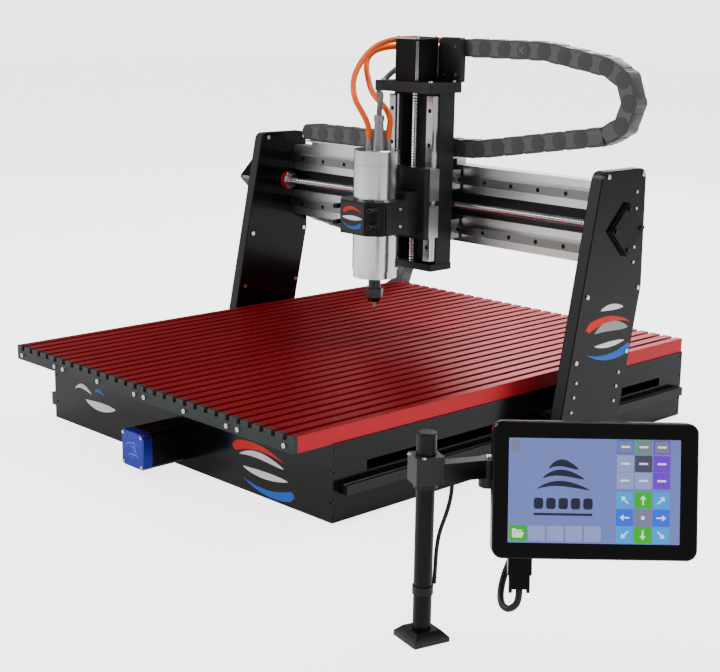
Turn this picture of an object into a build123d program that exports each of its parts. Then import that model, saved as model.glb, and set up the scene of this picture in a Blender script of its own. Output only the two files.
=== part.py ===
"""Moving-gantry CNC router with a T-slot bed, water-cooled spindle and pendant.

The origin is the centre of the chassis underside. +X is to the right as seen
from the front, +Y runs to the back along the bed, and +Z is up. Millimetres.
"""
from build123d import *
import math
import os

os.makedirs("parts", exist_ok=True)

# ---------------------------------------------------------------- driving sizes
# T-slot bed
slot_pitch = 25.4
outer_panel_slots = 5
inner_panel_slots = 9
bed_edge = 5.4            # plain strip beyond the outermost slot cells
bed_length = 936.0        # with the end plates
bed_top = 143.0
panel_height = 24.5
panel_gap = 0.6
slot_mouth = 9.0
slot_mouth_depth = 8.0
slot_inside = 17.0
slot_inside_depth = 6.5
end_plate_thickness = 8.0
bed_screw_slots = (0, 4, 5, 9, 13, 14, 18, 22, 23, 27)

# Chassis
chassis_width = 724.6
chassis_length = 864.0
bed_overhang = 73.0       # bed ahead of the front panel
side_wall = 12.0
end_wall = 8.0
pan_thickness = 2.0
support_width = 40.0
support_height = 22.0
support_count = 5
tie_slot_margin = 2.5     # room above and below the tie bar
tie_slot_end = 60.0       # solid wall left at each end of the slot

# Linear guides
rail_width = 15.0
rail_height = 15.0
block_height = 28.0
block_width = 34.0
rail_groove = 3.0
guide_clearance = 0.4     # block to rail, all round
block_lift = 4.3          # block underside above the rail's mounting face
rail_hole_pitch = 60.0
rail_hole_radius = 4.0
rail_hole_depth = 4.5
y_rail_z = 50.0
y_rail_inset = 15.0
y_block_length = 70.0
y_block_gap = 8.0
y_spacer = 12.7           # packing between a block and its upright
x_rail_offset = 44.5
x_block_length = 50.0
z_block_length = 56.0

# Ball screws and motors
y_screw_radius = 8.0
x_screw_radius = 6.0
z_screw_radius = 6.0
running_fit = 0.05
y_screw_z = 43.0
motor_size = 57.0
motor_corner = 4.5
y_motor_length = 72.0
y_motor_cap_length = 17.0
x_motor_length = 81.0
z_motor_length = 76.0
bearing_block = 50.0
bearing_depth = 25.0

# Gantry
foot_y = 66.5             # centre of the upright's foot
foot_depth = 155.0
foot_z = 12.0
upright_height = 473.7
top_front = 15.5          # from foot_y, at the top
top_back = 129.5
kink_back = 133.5
kink_z = 279.0
upright_core = 18.6
cover_thickness = 2.0
cover_inset = 1.0
top_radius = 14.0
beam_height = 138.0
beam_depth = 34.0
beam_front = 97.5         # from foot_y
x_axis_z = 377.5
beam_recess_height = 41.0
beam_recess_depth = 14.0
tie_width = 70.0
tie_thickness = 10.0
tie_z = 69.0              # underside

# Z slide
z_frame_width = 112.0
z_frame_back = 12.0
z_frame_bar = 20.0
z_frame_depth = 38.0
z_frame_low = 274.0
z_frame_high = 576.0
z_rail_end = 6.0
top_plate_thickness = 18.0
top_plate_width = 136.0
top_plate_front = 39.0    # ahead of the side bars
top_plate_back = 5.0      # behind the frame
bottom_plate_thickness = 12.0
saddle_thickness = 12.0
saddle_width = 126.0
saddle_low = 322.0
saddle_high = 447.0
z_block_inset = 2.0

# Spindle and its clamp
spindle_radius = 40.0
spindle_y = 1.0
spindle_low = 270.0
spindle_high = 454.0
top_cap_height = 26.0
nose_height = 14.0
nose_radius = 38.0
cap_seam = 0.4
clamp_low = 336.0
clamp_high = 394.0
clamp_half_width = 53.0
clamp_front = -54.0
clamp_split_front = -29.0
clamp_split_back = -25.0
clamp_chamfer = 21.0
shaft_radius = 11.0
collet_radius = 16.0
collet_high = 235.0
collet_low = 211.0
cutter_radius = 3.0
cutter_tip = 193.0

# Cable chains
chain_width = 30.0
chain_height = 33.0
chain_radius = 56.0
chain_play = 0.6

# Pendant
pole_x = 712.0
pole_y = -612.0
pole_radius = 11.0
pole_top = 253.0
foot_size = 48.0
foot_height = 14.0
foot_turn = -14.0
tablet_width = 230.0
tablet_height = 154.0
tablet_thickness = 24.0
tablet_corner = 12.0
tablet_turn = 46.0
tablet_tilt = 13.0

# ---------------------------------------------------------------- derived sizes
half_width = chassis_width / 2
chassis_front = -chassis_length / 2
chassis_back = chassis_length / 2
chassis_height = bed_top - panel_height
bed_front = chassis_front - bed_overhang
bed_back = bed_front + bed_length
slot_total = 2 * (outer_panel_slots + inner_panel_slots)
bed_half = slot_total * slot_pitch / 2 + bed_edge
pan_half_x = half_width - side_wall
inner_y_front = chassis_front + end_wall
inner_y_back = chassis_back - end_wall

upright_inner = half_width + block_height + y_spacer
upright_thickness = upright_core + 2 * cover_thickness
upright_outer = upright_inner + upright_thickness
beam_y = foot_y + beam_front
beam_low = x_axis_z - beam_height / 2
beam_top = x_axis_z + beam_height / 2
slide_back_y = beam_y - block_height            # back face of the Z frame
x_screw_y = beam_y - 17.0
frame_front_y = slide_back_y - z_frame_depth    # front of the side bars
z_rail_x = z_frame_width / 2 - z_frame_bar / 2
z_screw_y = frame_front_y - 3.0
saddle_back_y = frame_front_y - block_height
saddle_front_y = saddle_back_y - saddle_thickness
top_plate_z = z_frame_high + top_plate_thickness


# ------------------------------------------------------------------ small tools
def block(x0, x1, y0, y1, z0, z1, mode=Mode.ADD):
    """A rectangular block between two corners."""
    with Locations(((x0 + x1) / 2, (y0 + y1) / 2, (z0 + z1) / 2)):
        Box(abs(x1 - x0), abs(y1 - y0), abs(z1 - z0), mode=mode)


def rod_x(radius, x0, x1, y, z, mode=Mode.ADD):
    """A cylinder along X."""
    with Locations(((x0 + x1) / 2, y, z)):
        Cylinder(radius, abs(x1 - x0), rotation=(0, 90, 0), mode=mode)


def rod_y(radius, x, y0, y1, z, mode=Mode.ADD):
    """A cylinder along Y."""
    with Locations((x, (y0 + y1) / 2, z)):
        Cylinder(radius, abs(y1 - y0), rotation=(90, 0, 0), mode=mode)


def rod_z(radius, x, y, z0, z1, mode=Mode.ADD):
    """A cylinder along Z."""
    with Locations((x, y, (z0 + z1) / 2)):
        Cylinder(radius, abs(z1 - z0), mode=mode)


def save(piece, name):
    """Label a finished piece and write it to its own file."""
    piece.part.label = name
    export_step(piece.part, f"parts/{name}.step")


def slot_x(index):
    """Centre of one T-slot across the bed."""
    return (index - (slot_total - 1) / 2) * slot_pitch


# ------------------------------------------------------------------------- bed
def slotted_panel(first, count, left_extra, right_extra):
    """One extruded bed panel that carries a run of T-slots."""
    left = slot_x(first) - slot_pitch / 2 - left_extra + panel_gap / 2
    right = slot_x(first + count - 1) + slot_pitch / 2 + right_extra - panel_gap / 2
    with BuildSketch(Plane.XZ.offset(-(bed_front + end_plate_thickness))) as section:
        with Locations(((left + right) / 2, bed_top - panel_height / 2)):
            Rectangle(right - left, panel_height)
        for index in range(first, first + count):
            with Locations((slot_x(index), bed_top - slot_mouth_depth / 2)):
                Rectangle(slot_mouth, slot_mouth_depth, mode=Mode.SUBTRACT)
            with Locations((slot_x(index), bed_top - slot_mouth_depth - slot_inside_depth / 2)):
                Rectangle(slot_inside, slot_inside_depth, mode=Mode.SUBTRACT)
    extrude(section.sketch, amount=-(bed_length - end_plate_thickness))


panel_starts = (0, outer_panel_slots, outer_panel_slots + inner_panel_slots,
                outer_panel_slots + 2 * inner_panel_slots)

with BuildPart() as bed_panels_outer:
    slotted_panel(panel_starts[0], outer_panel_slots, bed_edge, 0)
    slotted_panel(panel_starts[3], outer_panel_slots, 0, bed_edge)
save(bed_panels_outer, "bed_panels_outer")

with BuildPart() as bed_panels_inner:
    slotted_panel(panel_starts[1], inner_panel_slots, 0, 0)
    slotted_panel(panel_starts[2], inner_panel_slots, 0, 0)
save(bed_panels_inner, "bed_panels_inner")

with BuildPart() as end_plates:
    for start, count, left_extra, right_extra in (
            (panel_starts[0], outer_panel_slots, bed_edge, 0),
            (panel_starts[1], inner_panel_slots, 0, 0),
            (panel_starts[2], inner_panel_slots, 0, 0),
            (panel_starts[3], outer_panel_slots, 0, bed_edge)):
        block(slot_x(start) - slot_pitch / 2 - left_extra + panel_gap / 2,
              slot_x(start + count - 1) + slot_pitch / 2 + right_extra - panel_gap / 2,
              bed_front, bed_front + end_plate_thickness, chassis_height, bed_top)
    for index in range(slot_total):
        block(slot_x(index) - slot_mouth / 2, slot_x(index) + slot_mouth / 2,
              bed_front - 1, bed_front + end_plate_thickness + 1,
              bed_top - slot_mouth_depth, bed_top + 1, mode=Mode.SUBTRACT)
save(end_plates, "end_plates")

bed_screw_radius = 3.6
bed_screw_head = 3.0
bed_screw_drop = 7.5      # below the slot mouths
bed_screw_z = bed_top - slot_mouth_depth - bed_screw_drop
with BuildPart() as bed_screws:
    for index in bed_screw_slots:
        rod_y(bed_screw_radius, slot_x(index), bed_front - bed_screw_head, bed_front, bed_screw_z)
        rod_y(bed_screw_radius / 2, slot_x(index), bed_front - bed_screw_head - 1,
              bed_front - bed_screw_head / 2, bed_screw_z, mode=Mode.SUBTRACT)
        rod_y(bed_screw_radius, slot_x(index), bed_back, bed_back + bed_screw_head, bed_screw_z)
save(bed_screws, "bed_screws")

with BuildPart() as bed_supports:
    first_support = inner_y_front + support_width / 2
    support_step = (inner_y_back - inner_y_front - support_width) / (support_count - 1)
    for number in range(support_count):
        middle = first_support + number * support_step
        block(-pan_half_x, pan_half_x, middle - support_width / 2, middle + support_width / 2,
              chassis_height - support_height, chassis_height)
save(bed_supports, "bed_supports")

# --------------------------------------------------------------------- chassis
with BuildPart() as side_profiles:
    for side in (-1, 1):
        block(side * pan_half_x, side * half_width, inner_y_front, inner_y_back, 0, chassis_height)
        block(side * (pan_half_x - 1), side * (half_width + 1), inner_y_front + tie_slot_end,
              inner_y_back - tie_slot_end, tie_z - tie_slot_margin,
              tie_z + tie_thickness + tie_slot_margin, mode=Mode.SUBTRACT)
save(side_profiles, "side_profiles")

y_shaft_hole = y_screw_radius + 3.0
with BuildPart() as end_panels:
    block(-half_width, half_width, chassis_front, inner_y_front, 0, chassis_height)
    rod_y(y_shaft_hole, 0, chassis_front - 1, inner_y_front + 1, y_screw_z, mode=Mode.SUBTRACT)
    block(-half_width, half_width, inner_y_back, chassis_back, 0, chassis_height)
save(end_panels, "end_panels")

with BuildPart() as bottom_pan:
    block(-pan_half_x, pan_half_x, inner_y_front, inner_y_back, 0, pan_thickness)
save(bottom_pan, "bottom_pan")

with BuildPart() as y_rails:
    for side in (-1, 1):
        block(side * half_width, side * (half_width + rail_height),
              chassis_front + y_rail_inset, chassis_back - y_rail_inset,
              y_rail_z - rail_width / 2, y_rail_z + rail_width / 2)
        for edge in (-1, 1):
            with Locations((side * (half_width + rail_height * 0.55), 0,
                            y_rail_z + edge * rail_width / 2)):
                Box(rail_groove, chassis_length, rail_groove, rotation=(0, 45, 0),
                    mode=Mode.SUBTRACT)
save(y_rails, "y_rails")


def motor_outline(size, corner):
    """Square motor face with cut corners."""
    half = size / 2
    Polygon((-half + corner, -half), (half - corner, -half), (half, -half + corner),
            (half, half - corner), (half - corner, half), (-half + corner, half),
            (-half, half - corner), (-half, -half + corner), align=None)


y_motor_front = chassis_front - y_motor_length
with BuildPart() as y_motor:
    with BuildSketch(Plane(origin=(0, chassis_front, y_screw_z), x_dir=(1, 0, 0), z_dir=(0, -1, 0))):
        motor_outline(motor_size, motor_corner)
    extrude(amount=y_motor_length)
save(y_motor, "y_motor")

with BuildPart() as y_motor_cap:
    with BuildSketch(Plane(origin=(0, y_motor_front, y_screw_z), x_dir=(1, 0, 0), z_dir=(0, -1, 0))):
        motor_outline(motor_size + 1.0, motor_corner + 1.5)
    extrude(amount=y_motor_cap_length)
    chamfer(y_motor_cap.faces().sort_by(Axis.Y)[0].edges(), 1.2)
save(y_motor_cap, "y_motor_cap")

bearing_positions = (inner_y_front, inner_y_back - bearing_depth)
with BuildPart() as y_screw_bearings:
    for start in bearing_positions:
        block(-bearing_block / 2, bearing_block / 2, start, start + bearing_depth,
              pan_thickness, y_screw_z + bearing_block / 2)
    rod_y(y_screw_radius + running_fit, 0, inner_y_front - 1, inner_y_back + 1, y_screw_z,
          mode=Mode.SUBTRACT)
save(y_screw_bearings, "y_screw_bearings")

with BuildPart() as y_screw:
    rod_y(y_screw_radius, 0, chassis_front + 1, inner_y_back - 2, y_screw_z)
save(y_screw, "y_screw")


# --------------------------------------------------------------------- uprights
def foot_edge(front, z):
    """Y of the upright's leaning front or back edge at a height below the kink."""
    if front:
        lean = (foot_depth / 2 + top_front) / (upright_height - foot_z)
        return foot_y - foot_depth / 2 + lean * (z - foot_z)
    lean = (kink_back - foot_depth / 2) / (kink_z - foot_z)
    return foot_y + foot_depth / 2 + lean * (z - foot_z)


def upright_slab(x0, x1, inset):
    """A slab with the upright's outline, shrunk by inset."""
    with BuildSketch(Plane.YZ.offset(x0)) as outline:
        with BuildLine():
            Polyline((foot_edge(True, foot_z), foot_z), (foot_y + top_front, upright_height),
                     (foot_y + top_back, upright_height), (foot_y + kink_back, kink_z),
                     (foot_edge(False, foot_z), foot_z), close=True)
        make_face()
        fillet(outline.vertices().group_by(Axis.Y)[-1], top_radius)
        if inset:
            offset(amount=-inset, mode=Mode.REPLACE)
    extrude(outline.sketch, amount=x1 - x0)


core_in = upright_inner + cover_thickness
core_out = core_in + upright_core
x_bearing_radius = 14.0
with BuildPart() as uprights:
    upright_slab(core_in, core_out, 0)
    upright_slab(-core_out, -core_in, 0)
    rod_x(x_bearing_radius, -core_out - 1, core_out + 1, x_screw_y, x_axis_z, mode=Mode.SUBTRACT)
save(uprights, "uprights")

with BuildPart() as upright_covers:
    for near, far in ((upright_inner, core_in), (core_out, upright_outer)):
        upright_slab(near, far, cover_inset)
        upright_slab(-far, -near, cover_inset)
    rod_x(x_bearing_radius, -upright_outer - 1, upright_outer + 1, x_screw_y, x_axis_z,
          mode=Mode.SUBTRACT)
save(upright_covers, "upright_covers")

screw_edge = 13.0         # screw centre in from the upright's edge
big_head_radius = 4.0
small_head_radius = 2.6
head_height = 2.4
cover_screw_spots = [(foot_y + top_front + screw_edge, upright_height - 8.5),
                     (foot_y + top_back - 8.5, upright_height - 9.5)]
for height in (277.0, 173.0):
    cover_screw_spots.append((foot_edge(True, height) + screw_edge, height))
    cover_screw_spots.append((foot_edge(False, height) - screw_edge + 3, height))
foot_screw_spots = []
for height in (140.0, 117.0, 93.0):
    foot_screw_spots.append((foot_edge(True, height) + 22, height))
    foot_screw_spots.append((foot_edge(False, height) - 22, height))
beam_screw_spots = [(beam_y + 8, x_axis_z + step) for step in (59, 32, -31, -56)]

with BuildPart() as cover_screws:
    for side in (-1, 1):
        for y, z in cover_screw_spots:
            rod_x(big_head_radius, side * upright_outer, side * (upright_outer + head_height), y, z)
            rod_x(big_head_radius, side * upright_inner, side * (upright_inner - head_height), y, z)
        for y, z in foot_screw_spots + beam_screw_spots:
            rod_x(small_head_radius, side * upright_outer, side * (upright_outer + head_height), y, z)
    fillet(cover_screws.edges().filter_by(GeomType.CIRCLE).group_by(Axis.X)[0], 1.0)
    fillet(cover_screws.edges().filter_by(GeomType.CIRCLE).group_by(Axis.X)[-1], 1.0)
save(cover_screws, "cover_screws")

# -------------------------------------------------------------- beam and X guides
chain_y = beam_y - 2.0
chain_lower_z = 477.5
chain_shelf = chain_lower_z - chain_height / 2 - chain_play
beam_back_groove = 6.0
shelf_left = -350.0
shelf_right = 40.0
shelf_back = 24.0         # behind the beam's front face
shelf_lip = 15.0          # ahead of the beam's front face
shelf_thickness = 2.5
with BuildPart() as beam:
    block(-upright_inner, upright_inner, beam_y, beam_y + beam_depth, beam_low, beam_top)
    block(-upright_inner - 1, upright_inner + 1, beam_y - 1, beam_y + beam_recess_depth,
          x_axis_z - beam_recess_height / 2, x_axis_z + beam_recess_height / 2, mode=Mode.SUBTRACT)
    block(-upright_inner - 1, upright_inner + 1, beam_y + beam_depth - beam_back_groove,
          beam_y + beam_depth + 1,
          x_axis_z - beam_recess_height, x_axis_z + beam_recess_height, mode=Mode.SUBTRACT)
    block(shelf_left, shelf_right, beam_y, beam_y + shelf_back, beam_top, chain_shelf)
    block(shelf_left, shelf_right, beam_y - shelf_lip, beam_y + shelf_back,
          chain_shelf - shelf_thickness, chain_shelf)
save(beam, "beam")


def rail_hole_positions(length):
    """Evenly spaced screw positions along a rail of a given length."""
    count = int((length - 2 * rail_hole_pitch / 4) // rail_hole_pitch) + 1
    return [(number - (count - 1) / 2) * rail_hole_pitch for number in range(count)]


x_rail_end_gap = 3.0
x_rail_half = upright_inner - x_rail_end_gap
with BuildPart() as x_rails:
    for level in (-1, 1):
        rail_z = x_axis_z + level * x_rail_offset
        block(-x_rail_half, x_rail_half, beam_y - rail_height, beam_y,
              rail_z - rail_width / 2, rail_z + rail_width / 2)
        for edge in (-1, 1):
            with Locations((0, beam_y - rail_height * 0.55, rail_z + edge * rail_width / 2)):
                Box(2 * upright_inner, rail_groove, rail_groove, rotation=(45, 0, 0),
                    mode=Mode.SUBTRACT)
        for position in rail_hole_positions(2 * x_rail_half):
            rod_y(rail_hole_radius, position, beam_y - rail_height - 1,
                  beam_y - rail_height + rail_hole_depth, rail_z, mode=Mode.SUBTRACT)
save(x_rails, "x_rails")


def guide_block_cut(width, height, clearance):
    """Half-size pair of the channel that a block leaves for its rail."""
    return width / 2 + clearance, height + clearance


with BuildPart() as x_bearing_blocks:
    cut_half, cut_height = guide_block_cut(rail_width, rail_height, guide_clearance)
    for level in (-1, 1):
        rail_z = x_axis_z + level * x_rail_offset
        for side in (-1, 1):
            middle = side * (x_block_length / 2 + 3)
            block(middle - x_block_length / 2, middle + x_block_length / 2,
                  beam_y - block_height, beam_y - block_lift,
                  rail_z - block_width / 2, rail_z + block_width / 2)
        block(-z_frame_width, z_frame_width, beam_y - cut_height, beam_y,
              rail_z - cut_half, rail_z + cut_half, mode=Mode.SUBTRACT)
save(x_bearing_blocks, "x_bearing_blocks")

# ------------------------------------------------------------------ X ball screw
x_bearing_flange = 19.0
with BuildPart() as x_screw:
    rod_x(x_screw_radius, -upright_outer + 2, upright_outer - 4, x_screw_y, x_axis_z)
save(x_screw, "x_screw")

diamond_size = 62.0
diamond_thickness = 7.0
diamond_bolt_radius = 33.3
with BuildPart() as x_screw_bearings:
    for side in (-1, 1):
        rod_x(x_bearing_radius, side * (upright_inner - 6), side * (upright_outer - 2),
              x_screw_y, x_axis_z)
        rod_x(x_bearing_flange - 3, side * (upright_inner - 6), side * upright_inner,
              x_screw_y, x_axis_z)
    rod_x(x_screw_radius + running_fit, -upright_outer - 1, upright_outer - 3, x_screw_y, x_axis_z,
          mode=Mode.SUBTRACT)
    with Locations((upright_outer + diamond_thickness / 2, x_screw_y, x_axis_z)):
        Box(diamond_thickness, diamond_size, diamond_size, rotation=(45, 0, 0))
    for turn in range(4):
        angle = math.radians(90 * turn)
        rod_x(big_head_radius, upright_outer + diamond_thickness,
              upright_outer + diamond_thickness + head_height,
              x_screw_y + diamond_bolt_radius * math.cos(angle),
              x_axis_z + diamond_bolt_radius * math.sin(angle))
save(x_screw_bearings, "x_screw_bearings")

with BuildPart() as x_motor:
    with BuildSketch(Plane(origin=(-upright_outer, x_screw_y, x_axis_z), x_dir=(0, 1, 1),
                           z_dir=(-1, 0, 0))):
        motor_outline(motor_size, motor_corner)
    extrude(amount=x_motor_length)
save(x_motor, "x_motor")

x_nut_half = 22.0
x_nut_back = 12.0         # behind the screw's axis
nut_half_height = 13.0
with BuildPart() as x_nut:
    block(-x_nut_half, x_nut_half, slide_back_y, x_screw_y + x_nut_back,
          x_axis_z - nut_half_height, x_axis_z + nut_half_height)
    rod_x(x_screw_radius + running_fit, -x_nut_half - 1, x_nut_half + 1, x_screw_y, x_axis_z,
          mode=Mode.SUBTRACT)
save(x_nut, "x_nut")

# ------------------------------------------------------ Y carriages and tie bar
spacer_end = 6.0          # spacer shorter than its block at each end
spacer_edge = 4.0
with BuildPart() as y_bearing_blocks:
    cut_half, cut_height = guide_block_cut(rail_width, rail_height, guide_clearance)
    foot_middle = (foot_edge(True, y_rail_z) + foot_edge(False, y_rail_z)) / 2
    for side in (-1, 1):
        for end in (-1, 1):
            middle = foot_middle + end * (y_block_length + y_block_gap) / 2
            block(side * (half_width + block_lift), side * (half_width + block_height),
                  middle - y_block_length / 2, middle + y_block_length / 2,
                  y_rail_z - block_width / 2, y_rail_z + block_width / 2)
            block(side * (half_width + block_height), side * upright_inner,
                  middle - y_block_length / 2 + spacer_end, middle + y_block_length / 2 - spacer_end,
                  y_rail_z - block_width / 2 + spacer_edge, y_rail_z + block_width / 2 - spacer_edge)
        block(side * half_width, side * (half_width + cut_height), foot_middle - 2 * y_block_length,
              foot_middle + 2 * y_block_length, y_rail_z - cut_half, y_rail_z + cut_half,
              mode=Mode.SUBTRACT)
save(y_bearing_blocks, "y_bearing_blocks")

tie_middle = (foot_edge(True, tie_z) + foot_edge(False, tie_z)) / 2
with BuildPart() as tie_bar:
    block(-upright_inner, upright_inner, tie_middle - tie_width / 2, tie_middle + tie_width / 2,
          tie_z, tie_z + tie_thickness)
save(tie_bar, "tie_bar")

y_nut_half_width = 26.0
y_nut_half_length = 24.0
y_nut_drop = 18.0         # below the screw's axis
with BuildPart() as y_nut:
    block(-y_nut_half_width, y_nut_half_width, tie_middle - y_nut_half_length,
          tie_middle + y_nut_half_length, y_screw_z - y_nut_drop, tie_z)
    rod_y(y_screw_radius + running_fit, 0, tie_middle - y_nut_half_length - 1,
          tie_middle + y_nut_half_length + 1, y_screw_z, mode=Mode.SUBTRACT)
save(y_nut, "y_nut")

# --------------------------------------------------------------------- Z slide
with BuildPart() as z_frame:
    block(-z_frame_width / 2, z_frame_width / 2, slide_back_y - z_frame_back, slide_back_y,
          z_frame_low, z_frame_high)
    for side in (-1, 1):
        block(side * (z_frame_width / 2 - z_frame_bar), side * z_frame_width / 2,
              frame_front_y, slide_back_y - z_frame_back, z_frame_low, z_frame_high)
save(z_frame, "z_frame")

with BuildPart() as z_rails:
    for side in (-1, 1):
        block(side * z_rail_x - rail_width / 2, side * z_rail_x + rail_width / 2,
              frame_front_y - rail_height, frame_front_y,
              z_frame_low + z_rail_end, z_frame_high - z_rail_end)
        for edge in (-1, 1):
            with Locations((side * z_rail_x + edge * rail_width / 2,
                            frame_front_y - rail_height * 0.55, (z_frame_low + z_frame_high) / 2)):
                Box(rail_groove, rail_groove, z_frame_high - z_frame_low, rotation=(0, 0, 45),
                    mode=Mode.SUBTRACT)
        for position in rail_hole_positions(z_frame_high - z_frame_low - 2 * z_rail_end):
            rod_y(rail_hole_radius, side * z_rail_x, frame_front_y - rail_height - 1,
                  frame_front_y - rail_height + rail_hole_depth,
                  (z_frame_low + z_frame_high) / 2 + position, mode=Mode.SUBTRACT)
save(z_rails, "z_rails")

with BuildPart() as z_top_plate:
    block(-top_plate_width / 2, top_plate_width / 2, frame_front_y - top_plate_front,
          slide_back_y + top_plate_back, z_frame_high, top_plate_z)
    fillet(z_top_plate.edges().filter_by(Axis.Z), 3.0)
    rod_z(z_screw_radius + running_fit, 0, z_screw_y, z_frame_high - 1, top_plate_z - 4,
          mode=Mode.SUBTRACT)
save(z_top_plate, "z_top_plate")

bottom_plate_side = 2.0   # beyond the frame at each side
bottom_plate_front = 16.0
with BuildPart() as z_bottom_plate:
    block(-z_frame_width / 2 - bottom_plate_side, z_frame_width / 2 + bottom_plate_side,
          frame_front_y - bottom_plate_front, slide_back_y,
          z_frame_low - bottom_plate_thickness, z_frame_low)
    rod_z(z_screw_radius + running_fit, 0, z_screw_y, z_frame_low - bottom_plate_thickness - 1,
          z_frame_low + 1, mode=Mode.SUBTRACT)
save(z_bottom_plate, "z_bottom_plate")

with BuildPart() as z_screw:
    rod_z(z_screw_radius, 0, z_screw_y, z_frame_low - bottom_plate_thickness + 2,
          top_plate_z - 6)
save(z_screw, "z_screw")

with BuildPart() as z_motor:
    with BuildSketch(Plane(origin=(0, z_screw_y, top_plate_z))):
        motor_outline(motor_size, motor_corner)
    extrude(amount=z_motor_length)
save(z_motor, "z_motor")

chain_upper_z = 653.0
bracket_top = chain_upper_z + chain_height / 2 + 1
bracket_y = slide_back_y + top_plate_back
chain_front_y = chain_y - chain_width / 2
bracket_left = 2.0
bracket_right = 68.0
bracket_slant = 16.0      # how far its left edge leans in
bracket_plate_back = 6.0  # bracket behind the top plate's back edge
with BuildPart() as chain_bracket:
    with BuildSketch(Plane.XZ.offset(-chain_front_y)):
        with BuildLine():
            Polyline((bracket_left, top_plate_z), (bracket_right, top_plate_z),
                     (bracket_right, bracket_top), (bracket_left + bracket_slant, bracket_top),
                     close=True)
        make_face()
        fillet(vertices().group_by(Axis.Y)[-1], 6.0)
    extrude(amount=chain_front_y - bracket_y + bracket_plate_back)
save(chain_bracket, "chain_bracket")

# ------------------------------------------------------------------- Z carriage
with BuildPart() as z_bearing_blocks:
    cut_half, cut_height = guide_block_cut(rail_width, rail_height, guide_clearance)
    block_levels = (saddle_high - z_block_inset - z_block_length / 2,
                    saddle_low + z_block_inset + z_block_length / 2)
    for side in (-1, 1):
        for level in block_levels:
            block(side * z_rail_x - block_width / 2, side * z_rail_x + block_width / 2,
                  saddle_back_y, frame_front_y - block_lift,
                  level - z_block_length / 2, level + z_block_length / 2)
        block(side * z_rail_x - cut_half, side * z_rail_x + cut_half,
              frame_front_y - cut_height, frame_front_y, saddle_low - 5, saddle_high + 5,
              mode=Mode.SUBTRACT)
save(z_bearing_blocks, "z_bearing_blocks")

nut_half = z_rail_x - block_width / 2 - 5
with BuildPart() as saddle_plate:
    block(-saddle_width / 2, saddle_width / 2, saddle_front_y, saddle_back_y,
          saddle_low, saddle_high)
    chamfer(saddle_plate.faces().sort_by(Axis.Y)[0].edges(), 1.5)
    block(-nut_half, nut_half, saddle_back_y, z_screw_y + nut_half_height,
          (saddle_low + saddle_high) / 2 - nut_half_height - 1,
          (saddle_low + saddle_high) / 2 + nut_half_height + 1)
    rod_z(z_screw_radius + running_fit, 0, z_screw_y, saddle_low, saddle_high, mode=Mode.SUBTRACT)
save(saddle_plate, "saddle_plate")

clamp_step = 30.0         # depth of the narrower rear part
clamp_step_side = 8.0     # rear part narrower at each side
clamp_step_low = 6.0
clamp_step_high = 12.0
with BuildPart() as spindle_clamp:
    block(-clamp_half_width, clamp_half_width, clamp_split_back, saddle_front_y - clamp_step,
          clamp_low, clamp_high)
    block(-clamp_half_width + clamp_step_side, clamp_half_width - clamp_step_side,
          saddle_front_y - clamp_step, saddle_front_y,
          clamp_low - clamp_step_low, clamp_high + clamp_step_high)
    chamfer(spindle_clamp.edges().filter_by(Axis.Z).group_by(Axis.Y)[0], 1.5)
    rod_z(spindle_radius, 0, spindle_y, clamp_low - 20, clamp_high + 20, mode=Mode.SUBTRACT)
save(spindle_clamp, "spindle_clamp")

badge_half = 29.0
badge_proud = 2.0
clamp_bolt_radius = 4.5
clamp_socket_radius = 2.4
clamp_bolt_proud = 4.0
clamp_bolt_depth = 14.0
clamp_bolt_shares = (0.3, 0.78)   # of the clamp's height
clamp_bolt_x = clamp_half_width - clamp_chamfer / 2
with BuildPart() as clamp_cap:
    block(-clamp_half_width, clamp_half_width, clamp_front, clamp_split_front,
          clamp_low, clamp_high)
    chamfer(clamp_cap.edges().filter_by(Axis.Z).group_by(Axis.Y)[0], clamp_chamfer)
    block(-badge_half, badge_half, clamp_front - badge_proud, clamp_front,
          clamp_low + 3, clamp_high - 3)
    rod_z(spindle_radius, 0, spindle_y, clamp_low - 1, clamp_high + 1, mode=Mode.SUBTRACT)
    for side in (-1, 1):
        for share in clamp_bolt_shares:
            height = clamp_low + share * (clamp_high - clamp_low)
            rod_y(clamp_bolt_radius, side * clamp_bolt_x, clamp_front - clamp_bolt_proud,
                  clamp_front + clamp_bolt_depth, height)
            rod_y(clamp_socket_radius, side * clamp_bolt_x, clamp_front - clamp_bolt_proud - 1,
                  clamp_front, height, mode=Mode.SUBTRACT)
save(clamp_cap, "clamp_cap")

with BuildPart() as spindle_housing:
    rod_z(spindle_radius, 0, spindle_y, spindle_low, spindle_high)
    rod_z(shaft_radius + 1.5, 0, spindle_y, spindle_low - 1, spindle_low + 20, mode=Mode.SUBTRACT)
    rod_z(spindle_radius, 0, spindle_y, spindle_high + cap_seam, spindle_high + top_cap_height)
    rod_z(nose_radius, 0, spindle_y, spindle_low - nose_height, spindle_low - cap_seam)
    rod_z(shaft_radius + 1.0, 0, spindle_y, spindle_low - nose_height - 1, spindle_low,
          mode=Mode.SUBTRACT)
    chamfer(spindle_housing.edges().filter_by(GeomType.CIRCLE).group_by(Axis.Z)[-1], 1.5)
save(spindle_housing, "spindle_housing")

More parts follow.
